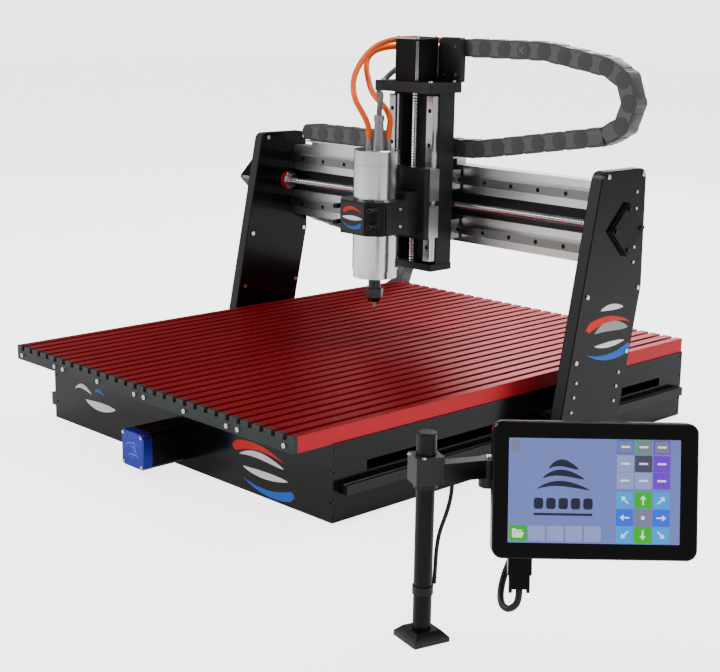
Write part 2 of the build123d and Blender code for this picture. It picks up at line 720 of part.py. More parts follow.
spindle_top = spindle_high + top_cap_height
fitting_x = 2.0
fitting_y = 3.0
fitting_reach = 17.0
fitting_angle = math.radians(46)
fitting_spots = [(fitting_x + side * fitting_reach * math.cos(fitting_angle),
                  fitting_y + side * fitting_reach * math.sin(fitting_angle)) for side in (-1, 1)]
fitting_height = 18.0
fitting_base_radius = 5.5
fitting_base_height = 6.0
fitting_neck_radius = 4.2
connector_nut_radius = 9.5
connector_low_radius = 11.0
connector_high_radius = 7.5
connector_height = 48.0
connector_nut_height = 10.0
with BuildPart() as spindle_fittings:
    for x, y in fitting_spots:
        rod_z(fitting_base_radius, x, y, spindle_top, spindle_top + fitting_base_height)
        rod_z(fitting_neck_radius, x, y, spindle_top + fitting_base_height,
              spindle_top + fitting_height)
    with Locations((fitting_x, fitting_y, spindle_top + connector_height / 2)):
        Cone(connector_low_radius, connector_high_radius, connector_height)
    with BuildSketch(Plane.XY.offset(spindle_top + connector_height)):
        with Locations((fitting_x, fitting_y)):
            RegularPolygon(connector_nut_radius, 6)
    extrude(amount=connector_nut_height)
save(spindle_fittings, "spindle_fittings")

# ----------------------------------------------------------------------- rotor
collet_taper = 8.0        # height of the nut's tapered nose
cutter_point = 8.0        # height of the cutter's pointed end
with BuildPart() as collet_nut:
    rod_z(shaft_radius, 0, spindle_y, collet_high, spindle_low + 10)
    with BuildSketch(Plane.XY.offset(collet_low + collet_taper)):
        with Locations((0, spindle_y)):
            RegularPolygon(collet_radius, 6)
    extrude(amount=collet_high - collet_low - collet_taper)
    with Locations((0, spindle_y, collet_low + collet_taper / 2)):
        Cone(collet_radius * 0.62, collet_radius * 0.86, collet_taper)
    rod_z(cutter_radius, 0, spindle_y, collet_low - 1, collet_high, mode=Mode.SUBTRACT)
save(collet_nut, "collet_nut")

with BuildPart() as cutter:
    rod_z(cutter_radius, 0, spindle_y, cutter_tip + cutter_point, collet_high)
    with Locations((0, spindle_y, cutter_tip + cutter_point / 2)):
        Cone(cutter_radius / 6, cutter_radius, cutter_point)
save(cutter, "cutter")


# ---------------------------------------------------------------------- chains
def chain_run(name, plane, points, radii):
    """A stretch of chain as a swept bar; points lie in the chain's own plane."""
    with BuildPart() as run:
        with BuildLine(plane) as route:
            if radii:
                FilletPolyline(*points, radius=radii)
            else:
                Polyline(*points)
        with BuildSketch(Plane(origin=route.line @ 0, z_dir=route.line % 0, x_dir=plane.z_dir)):
            Rectangle(chain_width, chain_height)
        sweep()
    save(run, name)


def chain_bend(name, plane, centre, start, turn):
    """A stretch of the chain's return bend, as degrees of arc."""
    with BuildPart() as bend:
        with BuildLine(plane) as route:
            CenterArc(centre, chain_radius, start, turn)
        with BuildSketch(Plane(origin=route.line @ 0, z_dir=route.line % 0, x_dir=plane.z_dir)):
            Rectangle(chain_width, chain_height)
        sweep()
    save(bend, name)


# X chain, in an upright plane along X; local x is +X and local y is +Z
x_chain_plane = Plane(origin=(0, chain_y, 0), x_dir=(1, 0, 0), z_dir=(0, -1, 0))
x_bend_x = 362.0
x_bend_z = 577.0
x_chain_slope = 9.0
slope_x = chain_radius * math.sin(math.radians(x_chain_slope))
slope_z = chain_radius * math.cos(math.radians(x_chain_slope))
x_chain_top_end = (x_bend_x + slope_x, x_bend_z + slope_z)
x_chain_low_end = (x_bend_x + slope_x, x_bend_z - slope_z)
x_chain_start = 68.0
x_chain_fixed_end = -345.0
fall = math.tan(math.radians(x_chain_slope))
upper_corner_x = x_chain_top_end[0] - (chain_upper_z - x_chain_top_end[1]) / fall
lower_corner_x = x_chain_low_end[0] - (x_chain_low_end[1] - chain_lower_z) / fall
chain_run("x_chain_upper", x_chain_plane,
          [(x_chain_start, chain_upper_z), (upper_corner_x, chain_upper_z), x_chain_top_end], 600)
chain_run("x_chain_lower", x_chain_plane,
          [(x_chain_fixed_end, chain_lower_z), (lower_corner_x, chain_lower_z),
           x_chain_low_end], 500)
chain_bend("x_chain_bend_upper", x_chain_plane, (x_bend_x, x_bend_z), 90 - x_chain_slope,
           -(90 - x_chain_slope))
chain_bend("x_chain_bend_lower", x_chain_plane, (x_bend_x, x_bend_z), 0, -(90 - x_chain_slope))

# Y chain, in an upright plane along Y on the left; local x is +Y and local y is +Z
y_chain_x = -(half_width + upright_inner) / 2
y_chain_plane = Plane(origin=(y_chain_x, 0, 0), x_dir=(0, 1, 0), z_dir=(1, 0, 0))
y_chain_low_z = 112.0
y_bend_y = 413.5
y_bend_z = y_chain_low_z + chain_radius
y_chain_slope = 23.0
y_chain_top_end = (y_bend_y + chain_radius * math.sin(math.radians(y_chain_slope)),
                   y_bend_z + chain_radius * math.cos(math.radians(y_chain_slope)))
y_fall = math.tan(math.radians(y_chain_slope))
y_chain_fixed_end = -65.0
y_chain_start = (beam_y + beam_depth + 5, beam_low + 4)
y_corner = y_chain_start[0] + 97.0
chain_run("y_chain_upper", y_chain_plane,
          [y_chain_start, (y_corner, y_chain_top_end[1] + (y_chain_top_end[0] - y_corner) * y_fall),
           y_chain_top_end], 400)
chain_run("y_chain_lower", y_chain_plane,
          [(y_chain_fixed_end, y_chain_low_z), (y_bend_y, y_chain_low_z)], None)
chain_bend("y_chain_bend_upper", y_chain_plane, (y_bend_y, y_bend_z), 90 - y_chain_slope,
           -(90 - y_chain_slope))
chain_bend("y_chain_bend_lower", y_chain_plane, (y_bend_y, y_bend_z), 0, -90)

tray_top = y_chain_low_z - chain_height / 2 - chain_play
tray_thickness = 2.0
tray_front = y_chain_fixed_end - 5
tray_back = chassis_back - end_wall
tray_flange_top = chassis_height - 3
with BuildPart() as y_chain_tray:
    block(-half_width, y_chain_x - chain_width / 2, tray_front, tray_back,
          tray_top - tray_thickness, tray_top)
    block(-half_width - tray_thickness, -half_width, tray_front, tray_back,
          tray_top, tray_flange_top)
save(y_chain_tray, "y_chain_tray")

side_box_width = 20.0
side_box_length = 28.0
side_box_front = chassis_front + 4
side_box_low = 19.0
with BuildPart() as side_box:
    block(-half_width - side_box_width, -half_width, side_box_front,
          side_box_front + side_box_length, side_box_low, y_rail_z - rail_width / 2 - 1)
    chamfer(side_box.faces().sort_by(Axis.X)[0].edges(), 2.0)
save(side_box, "side_box")

# ------------------------------------------------------------- hoses and cable
hose_radius = 5.1
cable_radius = 4.8


def route_radii(points):
    """Bend radius at each inner point: 0.45 of the shorter run over tan(half turn)."""
    radii = []
    for before, here, after in zip(points, points[1:], points[2:]):
        arrive = Vector(*here) - Vector(*before)
        leave = Vector(*after) - Vector(*here)
        turn = math.radians(arrive.get_angle(leave))
        radii.append(0.45 * min(arrive.length, leave.length) / math.tan(turn / 2))
    return radii


def tube(name, points, radius):
    """A round hose or cable along a hand-chosen route."""
    radii = route_radii(points)
    with BuildPart() as hose:
        with BuildLine() as route:
            FilletPolyline(*points, radius=radii)
        with BuildSketch(Plane(origin=route.line @ 0, z_dir=route.line % 0)):
            Circle(radius)
        sweep()
    save(hose, name)
    length = route.wire().length
    print(name, "length", round(length), "radii", [round(value) for value in radii],
          "volume ratio", round(hose.part.volume / (math.pi * radius ** 2 * length), 3))


hose_base = spindle_top + fitting_height
left_x, left_y = fitting_spots[0]
right_x, right_y = fitting_spots[1]
chain_mouth = x_chain_start
hose_left_route = [
    (left_x, left_y, hose_base), (left_x, left_y, 514), (-14, -12.5, 530),
    (-23, -17, 546), (-35, -19, 562), (-48, -13, 580), (-59, -1, 599), (-67, 17, 617),
    (-72, 37, 634), (-74, 59, 649), (-69, 83, 660), (-57, 107, 665), (-39, 127, 666),
    (-16, 143, 665), (10, 154, 663), (38, 157, 662), (chain_mouth, 157, 662)]
hose_right_route = [
    (right_x, right_y, hose_base), (right_x, right_y, 512), (15, 17.5, 526),
    (10.5, 19, 539), (1, 19.5, 549), (-11, 19, 558), (-25, 18.5, 568), (-40, 22, 580),
    (-53, 29, 595), (-66, 37, 609), (-77, 46, 623), (-84, 60, 636), (-85, 78, 645),
    (-79, 98, 650), (-67, 117, 652), (-51, 133, 652), (-31, 145, 651), (-8, 152.5, 650),
    (16, 156.5, 650), (42, 157, 650.5), (chain_mouth, 157, 650.5)]
cable_top = spindle_top + connector_height + connector_nut_height
spindle_cable_route = [
    (fitting_x, fitting_y, cable_top), (fitting_x, fitting_y, 549), (1, 6, 560), (-4, 12, 569),
    (-16, 24, 574), (-34, 40, 572), (-54, 57, 568.5), (-73, 74, 571), (-86, 93, 584),
    (-88, 114, 600), (-78, 133, 616), (-59, 149, 628), (-36, 160, 635), (-10, 167, 640),
    (17, 170, 643.5), (44, 170.5, 645), (chain_mouth, 170.5, 645)]
tube("hose_left", hose_left_route, hose_radius)
tube("hose_right", hose_right_route, hose_radius)
tube("spindle_cable", spindle_cable_route, cable_radius)

# --------------------------------------------------------------------- pendant
collar_low = 193.0
collar_high = 226.0
pivot_clearance = 0.4
pole_clip_z = 62.0
with BuildPart() as pendant_stand:
    with BuildSketch(Plane.XY):
        with Locations(Location((pole_x, pole_y), foot_turn)):
            Rectangle(foot_size, foot_size)
    extrude(amount=foot_height)
    chamfer(pendant_stand.faces().sort_by(Axis.Z)[-1].edges(), 8.0)
    rod_z(pole_radius, pole_x, pole_y, foot_height, pole_top - 24)
    rod_z(pole_radius + 0.8, pole_x, pole_y, collar_high + pivot_clearance, pole_top)
    rod_z(pole_radius + 3, pole_x, pole_y, collar_low - pivot_clearance - 6,
          collar_low - pivot_clearance)
    rod_z(pole_radius + 1.5, pole_x, pole_y, pole_clip_z - 5, pole_clip_z + 5)
    fillet(pendant_stand.edges().filter_by(GeomType.CIRCLE).group_by(Axis.Z)[-1], 2.0)
save(pendant_stand, "pendant_stand")

elbow_x = 745.0
elbow_y = -540.0
arm_half = 11.0
arm_width = 18.0
knuckle_radius = 12.0
pin_radius = 5.0
arm_direction = Vector(elbow_x - pole_x, elbow_y - pole_y, 0)
arm_plane = Plane(origin=(pole_x, pole_y, collar_low), x_dir=arm_direction, z_dir=(0, 0, 1))
arm_high = collar_low + 2 * arm_half
forearm_high = collar_low - pivot_clearance
forearm_low = forearm_high - 12.0
with BuildPart() as pendant_arm:
    with BuildSketch(arm_plane):
        Rectangle(2 * pole_radius + 12, 2 * pole_radius + 10)
    extrude(amount=collar_high - collar_low)
    with BuildSketch(arm_plane):
        with Locations((arm_direction.length / 2, 0)):
            Rectangle(arm_direction.length, arm_width)
        with Locations((arm_direction.length, 0)):
            Circle(knuckle_radius)
    extrude(amount=arm_high - collar_low)
    fillet(pendant_arm.edges().filter_by(Axis.Z).filter_by(
        lambda edge: edge.length > collar_high - collar_low - 1), 2.0)
    rod_z(pole_radius + pivot_clearance, pole_x, pole_y, collar_low - 1, collar_high + 1,
          mode=Mode.SUBTRACT)
    rod_z(pin_radius, elbow_x, elbow_y, forearm_low - 2, collar_low)
save(pendant_arm, "pendant_arm")

tablet_centre = Vector(872.0, -505.0, 199.0)
azimuth = math.radians(tablet_turn)
tilt = math.radians(tablet_tilt)
tablet_out = Vector(math.sin(azimuth) * math.cos(tilt), -math.cos(azimuth) * math.cos(tilt),
                    math.sin(tilt))
tablet_right = Vector(math.cos(azimuth), math.sin(azimuth), 0)
tablet_plane = Plane(origin=tablet_centre, x_dir=tablet_right, z_dir=tablet_out)
tablet_pivot = tablet_centre - tablet_out * (tablet_thickness + 26)
forearm_vector = Vector(tablet_pivot.X - elbow_x, tablet_pivot.Y - elbow_y, 0)
forearm_plane = Plane(origin=(elbow_x, elbow_y, forearm_low), x_dir=forearm_vector,
                      z_dir=(0, 0, 1))
with BuildPart() as pendant_forearm:
    with BuildSketch(forearm_plane):
        Circle(knuckle_radius)
        with Locations((forearm_vector.length / 2, 0)):
            Rectangle(forearm_vector.length, arm_width - 2)
        with Locations((forearm_vector.length, 0)):
            Circle(knuckle_radius)
        with Locations((0, 0), (forearm_vector.length, 0)):
            Circle(pin_radius + running_fit, mode=Mode.SUBTRACT)
    extrude(amount=forearm_high - forearm_low)
save(pendant_forearm, "pendant_forearm")

ear_thickness = 5.0
ear_reach = 26.0
mount_size = 60.0
mount_thickness = 8.0
with BuildPart() as pendant_tablet:
    with BuildSketch(tablet_plane.offset(-tablet_thickness)):
        RectangleRounded(tablet_width, tablet_height, tablet_corner)
    extrude(amount=tablet_thickness)
    chamfer(pendant_tablet.faces().sort_by(Axis((0, 0, 0), (*tablet_out,)))[-1].edges(), 1.5)
    with BuildSketch(tablet_plane.offset(-tablet_thickness - mount_thickness)):
        Rectangle(mount_size, mount_size)
    extrude(amount=mount_thickness)
    for low in (forearm_high + pivot_clearance, forearm_low - pivot_clearance - ear_thickness):
        with BuildSketch(Plane(origin=(tablet_pivot.X, tablet_pivot.Y, low), z_dir=(0, 0, 1),
                               x_dir=(math.sin(azimuth), -math.cos(azimuth), 0))):
            with Locations((ear_reach / 2, 0)):
                Rectangle(ear_reach, 2 * knuckle_radius)
            Circle(knuckle_radius)
        extrude(amount=ear_thickness)
    rod_z(pin_radius, tablet_pivot.X, tablet_pivot.Y, forearm_low - pivot_clearance,
          forearm_high + pivot_clearance)
    with BuildSketch(tablet_plane.offset(-tablet_thickness + 4)):
        with Locations((-82, -tablet_height / 2 - 10)):
            Rectangle(27, 20)
    extrude(amount=12)
    with BuildSketch(tablet_plane.offset(-tablet_thickness + 5)):
        with Locations((-82, -tablet_height / 2 - 28)):
            Rectangle(22, 16)
    extrude(amount=10)
save(pendant_tablet, "pendant_tablet")

pendant_cable_radius = 4.0


def on_tablet(across, up, out):
    """A point given in the tablet's own directions."""
    spot = tablet_centre + tablet_right * across + tablet_plane.y_dir * up + tablet_out * out
    return (spot.X, spot.Y, spot.Z)


plug_out = 10 - tablet_thickness
pendant_cable_route = [
    on_tablet(-82, -tablet_height / 2 - 36, plug_out), on_tablet(-82, -124, plug_out),
    on_tablet(-86, -133, plug_out - 2), on_tablet(-94, -138, plug_out - 8),
    on_tablet(-100, -134, plug_out - 16), on_tablet(-101, -123, plug_out - 24),
    on_tablet(-97, -105, plug_out - 30), on_tablet(-88, -83, plug_out - 34),
    on_tablet(-76, -61, plug_out - 36), on_tablet(-61, -41, plug_out - 34),
    on_tablet(-50, -26, plug_out - 26), on_tablet(-41, -19, plug_out - 18),
    on_tablet(-mount_size / 2, -19, plug_out - 18)]
tube("pendant_cable", pendant_cable_route, pendant_cable_radius)

pole_cable_radius = 2.5
hang_x = pole_x + arm_direction.X * 0.42
hang_y = pole_y + arm_direction.Y * 0.42
pole_cable_route = [
    (hang_x, hang_y, collar_low), (hang_x, hang_y, 181), (hang_x - 1, hang_y - 2, 165),
    (hang_x - 4, hang_y - 6, 147), (hang_x - 8, hang_y - 11, 128), (hang_x - 9, hang_y - 14, 107),
    (hang_x - 8, hang_y - 16, 87), (pole_x + 6, pole_y + 13, pole_clip_z + 5)]
tube("pole_cable", pole_cable_route, pole_cable_radius)
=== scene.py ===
"""Studio scene of a moving-gantry CNC router: finishes, fine detail, light and camera."""
import logging
import math
from dataclasses import dataclass, field
from enum import Enum

import bmesh
import bpy
from mathutils import Matrix, Vector


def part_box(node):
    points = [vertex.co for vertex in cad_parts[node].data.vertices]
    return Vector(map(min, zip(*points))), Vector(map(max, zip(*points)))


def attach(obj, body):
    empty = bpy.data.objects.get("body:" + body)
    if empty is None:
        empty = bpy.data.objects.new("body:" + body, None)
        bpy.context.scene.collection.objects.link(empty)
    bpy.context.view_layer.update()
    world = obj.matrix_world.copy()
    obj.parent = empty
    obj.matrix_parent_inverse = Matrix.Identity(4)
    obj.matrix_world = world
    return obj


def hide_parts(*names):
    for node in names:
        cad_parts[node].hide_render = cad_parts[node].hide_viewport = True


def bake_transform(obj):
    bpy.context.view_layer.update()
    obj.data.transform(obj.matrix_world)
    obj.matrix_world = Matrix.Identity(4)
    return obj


log = logging.getLogger("router")
MM = 0.001
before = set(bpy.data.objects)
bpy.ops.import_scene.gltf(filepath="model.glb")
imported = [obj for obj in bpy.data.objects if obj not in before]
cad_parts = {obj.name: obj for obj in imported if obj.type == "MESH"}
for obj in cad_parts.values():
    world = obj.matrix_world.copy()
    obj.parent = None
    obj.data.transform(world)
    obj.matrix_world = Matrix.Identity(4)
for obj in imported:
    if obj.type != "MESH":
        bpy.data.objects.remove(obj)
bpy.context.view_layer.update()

RIGHT, BACK, UP = Vector((1, 0, 0)), Vector((0, 1, 0)), Vector((0, 0, 1))
# Texture settings that every finish shares.
FINE_DETAIL = 4.0
BROAD_SCALE, BROAD_DETAIL, BROAD_SHARE = 9.0, 3.0, 0.35
SMOOTHEST, COAT_ROUGHNESS = 0.02, 0.08
RELIEF_STRENGTH = 0.6
THREAD_DEPTH, THREAD_WAVE = 0.8 * MM, 0.314
# Pointiness range and pale grey of the painted highlight on convex edges.
EDGE_FROM, EDGE_TO = 0.5, 0.62
EDGE_HIGHLIGHT_COLOUR = (0.35, 0.35, 0.36, 1)
# Socket screw heads: sides, corners of the socket, then shares of the radius and the height.
HEAD_SIDES, SOCKET_CORNERS = 28, 6
SOCKET_SHARE, RIM_SHARE, SHOULDER_SHARE, SOCKET_FLOOR = 0.5, 0.97, 0.62, 0.63
# Holes along the linear rails, and how far a screw head is sunk in one.
HOLE_PITCH, HOLE_MARGIN, HOLE_SINK = 0.06, 0.03, 4.4 * MM
RAIL_SCREW = (3.4 * MM, 2.2 * MM)
# The X screw's axis behind and above the origin.
X_SCREW_Y, X_SCREW_Z = 0.147, 0.3775
# Thickness of the flat coloured marks.
MARK = 0.25 * MM


# ---------------------------------------------------------------- finishes
class Grain(Enum):
    """How the fine texture of a surface runs."""

    EVEN = (1.0, 1.0, 1.0)
    ALONG_X = (0.02, 1.0, 1.0)
    ALONG_Y = (1.0, 0.02, 1.0)
    ALONG_Z = (1.0, 1.0, 0.02)
    TURNED = (0.03, 0.03, 1.0)


def add_node(nodes: bpy.types.Nodes, kind: str, values: dict,
             data: str = "") -> bpy.types.Node:
    """Adds one shader node and sets its inputs.

    Args:
        nodes: The material's nodes.
        kind: The node's kind.
        values: Its constants by socket name.
        data: The kind of value that a mix node works on, if not a number.

    Returns:
        The node.
    """
    made = nodes.new("ShaderNode" + kind)
    if data:
        made.data_type = data
    for socket, value in values.items():
        made.inputs[socket].default_value = value
    return made


@dataclass(frozen=True)
class Finish:
    """The look of one kind of surface.

    Attributes:
        name: Plain name of the finish.
        colour: Linear base colour.
        metallic: 0 for paint or plastic, 1 for bare metal.
        roughness: Middle roughness.
        grain: Direction of the fine texture.
        scale: Texture cells per metre.
        contrast: Colour variation, as a share of the colour.
        rough_spread: How far roughness wanders either way.
        bump: Height of the texture in millimetres.
        coat: Weight of a clear coat.
        glow: Strength of the surface's own light.
        edge_highlight: How much brighter the edges are, a painted highlight.
        gloss: How strongly a non-metal reflects.
        thread: Turns per metre of a screw thread, or 0 for none.
    """

    name: str
    colour: tuple
    metallic: float = 0.0
    roughness: float = 0.4
    grain: Grain = Grain.EVEN
    scale: float = 900.0
    contrast: float = 0.12
    rough_spread: float = 0.08
    bump: float = 0.01
    coat: float = 0.0
    glow: float = 0.0
    edge_highlight: float = 0.0
    gloss: float = 0.5
    thread: float = 0.0

    def material(self) -> bpy.types.Material:
        """Builds the finish's node material once and returns it.

        Returns:
            The Blender material.
        """
        found = bpy.data.materials.get(self.name)
        if found:
            return found
        made = bpy.data.materials.new(self.name)
        made.use_nodes = True
        nodes, links = made.node_tree.nodes, made.node_tree.links
        shader = nodes["Principled BSDF"]
        place = nodes.new("ShaderNodeTexCoord").outputs["Object"]
        stretch = add_node(nodes, "Mapping", {"Scale": self.grain.value})
        links.new(place, stretch.inputs["Vector"])
        fine = add_node(nodes, "TexNoise", {"Scale": self.scale, "Detail": FINE_DETAIL})
        links.new(stretch.outputs["Vector"], fine.inputs["Vector"])
        broad = add_node(nodes, "TexNoise", {"Scale": BROAD_SCALE, "Detail": BROAD_DETAIL})
        links.new(place, broad.inputs["Vector"])
        both = add_node(nodes, "Mix", {"Factor": BROAD_SHARE})
        links.new(fine.outputs["Fac"], both.inputs["A"])
        links.new(broad.outputs["Fac"], both.inputs["B"])
        dark = [channel * (1 - self.contrast) for channel in self.colour]
        light = [min(1.0, channel * (1 + self.contrast)) for channel in self.colour]
        tone = add_node(nodes, "Mix", {"A": (*dark, 1), "B": (*light, 1)}, "RGBA")
        links.new(both.outputs["Result"], tone.inputs["Factor"])
        colour = tone.outputs["Result"]
        # Painted highlight: convex edges are lightened towards a pale grey.
        if self.edge_highlight:
            colour = self._paint_edge_highlight(nodes, links, colour)
        links.new(colour, shader.inputs["Base Color"])
        rough = add_node(nodes, "MapRange", {
            "To Min": max(SMOOTHEST, self.roughness - self.rough_spread),
            "To Max": min(1.0, self.roughness + self.rough_spread)})
        links.new(both.outputs["Result"], rough.inputs["Value"])
        links.new(rough.outputs["Result"], shader.inputs["Roughness"])
        if self.thread:
            height = self._threaded(nodes, links, place)
            relief = add_node(nodes, "Bump", {"Distance": THREAD_DEPTH, "Strength": 1.0})
        else:
            height = fine.outputs["Fac"]
            relief = add_node(nodes, "Bump", {"Distance": self.bump * MM,
                                              "Strength": RELIEF_STRENGTH})
        links.new(height, relief.inputs["Height"])
        links.new(relief.outputs["Normal"], shader.inputs["Normal"])
        shader.inputs["Metallic"].default_value = self.metallic
        shader.inputs["Specular IOR Level"].default_value = self.gloss
        shader.inputs["Coat Weight"].default_value = self.coat
        shader.inputs["Coat Roughness"].default_value = COAT_ROUGHNESS
        if self.glow:
            links.new(colour, shader.inputs["Emission Color"])
            shader.inputs["Emission Strength"].default_value = self.glow
        return made

    def _threaded(self, nodes: bpy.types.Nodes, links: bpy.types.NodeLinks,
                  place: bpy.types.NodeSocket) -> bpy.types.NodeSocket:
        """Rolls a screw thread into the surface.

        Args:
            nodes: The material's nodes.
            links: The material's links.
            place: The surface's coordinates.

        Returns:
            The thread's height.
        """
        wave = add_node(nodes, "TexWave", {"Scale": self.thread * THREAD_WAVE})
        wave.bands_direction = {Grain.ALONG_X: "X", Grain.ALONG_Y: "Y"}.get(self.grain, "Z")
        links.new(place, wave.inputs["Vector"])
        return wave.outputs["Fac"]

    def _paint_edge_highlight(self, nodes: bpy.types.Nodes, links: bpy.types.NodeLinks,
              colour: bpy.types.NodeSocket) -> bpy.types.NodeSocket:
        """Paints a highlight on the edges, lightening them towards a pale grey.

        Args:
            nodes: The material's nodes.
            links: The material's links.
            colour: The colour so far.

        Returns:
            The colour with brighter edges.
        """
        geometry = nodes.new("ShaderNodeNewGeometry")
        edge = add_node(nodes, "MapRange", {"From Min": EDGE_FROM, "From Max": EDGE_TO,
                                            "To Max": self.edge_highlight})
        links.new(geometry.outputs["Pointiness"], edge.inputs["Value"])
        highlighted_colour = add_node(nodes, "Mix", {"B": EDGE_HIGHLIGHT_COLOUR}, "RGBA")
        links.new(edge.outputs["Result"], highlighted_colour.inputs["Factor"])
        links.new(colour, highlighted_colour.inputs["A"])
        return highlighted_colour.outputs["Result"]


RED = Finish("red anodised", (0.44, 0.008, 0.018), 0.7, 0.34, Grain.ALONG_Y, 1500, 0.22, 0.08, 0.02)
# End plates with a faint painted highlight on their edges.
DARK_PLATE = Finish("end plate", (0.008, 0.013, 0.012), 0.1, 0.4, Grain.EVEN, 1400, 0.3, edge_highlight=0.08,
                    gloss=0.15)
SHEET = Finish("gloss black sheet", (0.004, 0.004, 0.0045), 0.0, 0.17, Grain.EVEN, 500, 0.3, 0.05,
               0.012, gloss=0.2)
# Satin black with a faint painted highlight on its edges.
SATIN = Finish("satin black", (0.006, 0.006, 0.0065), 0.1, 0.34, Grain.EVEN, 1600, 0.3, 0.08, 0.012,
               edge_highlight=0.08, gloss=0.16)
BRUSHED = Finish("brushed aluminium", (0.78, 0.78, 0.78), 1.0, 0.34, Grain.ALONG_X, 1800, 0.14, 0.1,
                 0.03)
MACHINED = Finish("machined aluminium", (0.55, 0.56, 0.57), 1.0, 0.34, Grain.ALONG_Z, 1500, 0.12)
RAIL_X = Finish("ground rail along x", (0.20, 0.195, 0.19), 1.0, 0.3, Grain.ALONG_X, 2500, 0.12)
RAIL_Y = Finish("ground rail along y", (0.035, 0.035, 0.036), 1.0, 0.4, Grain.ALONG_Y, 2500, 0.1)
RAIL_Z = Finish("ground rail along z", (0.62, 0.63, 0.65), 1.0, 0.22, Grain.ALONG_Z, 2500, 0.08)
SCREW_X = Finish("ball screw along x", (0.72, 0.73, 0.74), 1.0, 0.2, Grain.ALONG_X, 2500, 0.1,
                 thread=200)
SCREW_Y = Finish("ball screw along y", (0.72, 0.73, 0.74), 1.0, 0.2, Grain.ALONG_Y, 2500, 0.1,
                 thread=200)
SCREW_Z = Finish("ball screw along z", (0.72, 0.73, 0.74), 1.0, 0.2, Grain.ALONG_Z, 2500, 0.1,
                 thread=200)
SCREW = Finish("bright screws", (0.70, 0.70, 0.71), 1.0, 0.22, Grain.EVEN, 2500, 0.15)
BLACK_SCREW = Finish("black screws", (0.015, 0.015, 0.015), 0.5, 0.3, Grain.EVEN, 2500, 0.2)
SPINDLE = Finish("turned steel", (0.70, 0.71, 0.72), 1.0, 0.2, Grain.TURNED, 2200, 0.1, 0.06, 0.01)
CONNECTOR = Finish("cast connector", (0.30, 0.31, 0.33), 0.6, 0.42, Grain.EVEN, 1500, 0.12)
COLLET = Finish("dark collet steel", (0.06, 0.06, 0.065), 1.0, 0.26, Grain.TURNED, 2200, 0.2)
CARBIDE = Finish("ground carbide", (0.55, 0.55, 0.56), 1.0, 0.2, Grain.TURNED, 3000, 0.15)
MOTOR = Finish("motor black", (0.0025, 0.0025, 0.0025), 0.05, 0.36, Grain.EVEN, 1500, 0.3, 0.08,
               0.015, gloss=0.15)
LAMINATION = Finish("motor laminations", (0.62, 0.62, 0.63), 1.0, 0.24, Grain.TURNED, 2600, 0.3)
BLUE = Finish("blue end cap", (0.004, 0.016, 0.34), 0.6, 0.26, Grain.EVEN, 1500, 0.25, gloss=0.6)
PALE_BLUE = Finish("pale blue engraving", (0.05, 0.22, 0.85), 0.3, 0.3, Grain.EVEN, 1500, 0.1)
# Chain plastic with a strong painted highlight on its edges.
CHAIN = Finish("chain plastic", (0.006, 0.006, 0.0065), 0.0, 0.34, Grain.EVEN, 1300, 0.3, 0.08,
               0.02, edge_highlight=0.35, gloss=0.28)
ORANGE = Finish("orange hose", (1.0, 0.115, 0.0), 0.0, 0.38, Grain.EVEN, 1200, 0.08, 0.05, 0.01,
                gloss=0.3)
GREY_CABLE = Finish("grey cable", (0.12, 0.122, 0.125), 0.0, 0.5, Grain.EVEN, 1200, 0.12)
BLACK_CABLE = Finish("black cable", (0.005, 0.005, 0.005), 0.0, 0.42, Grain.EVEN, 1200, 0.2,
                     gloss=0.35)
PLASTIC = Finish("tablet case", (0.0022, 0.0022, 0.0025), 0.0, 0.2, Grain.EVEN, 1800, 0.2, 0.04,
                 0.01, gloss=0.15)
WHITE_MARK = Finish("white marking", (0.85, 0.86, 0.87), 0.0, 0.35, Grain.EVEN, 1500, 0.04)
RED_MARK = Finish("red marking", (0.75, 0.008, 0.006), 0.0, 0.4, Grain.EVEN, 1500, 0.08, gloss=0.2)
BLUE_MARK = Finish("blue marking", (0.004, 0.12, 0.60), 0.0, 0.4, Grain.EVEN, 1500, 0.08, gloss=0.2)
GREY_MARK = Finish("grey marking", (0.30, 0.30, 0.31), 0.2, 0.35, Grain.EVEN, 1500, 0.08)
SCREEN = Finish("screen background", (0.15, 0.19, 0.50), 0.0, 0.12, Grain.EVEN, 14, 0.12, 0.02,
                0.0, glow=0.5, gloss=0.2)
FLOOR = Finish("pale floor", (0.90, 0.90, 0.90), 0.0, 0.8, Grain.EVEN, 60, 0.005, glow=0.45)


def key_finish(name: str, colour: tuple) -> Finish:
    """A lit key on the touch screen.

    Args:
        name: Plain name of the key's colour.
        colour: Linear colour.

    Returns:
        The finish.
    """
    return Finish(f"screen key {name}", colour, 0.0, 0.15, Grain.EVEN, 30, 0.06, 0.02, 0.0,
                  glow=0.55)


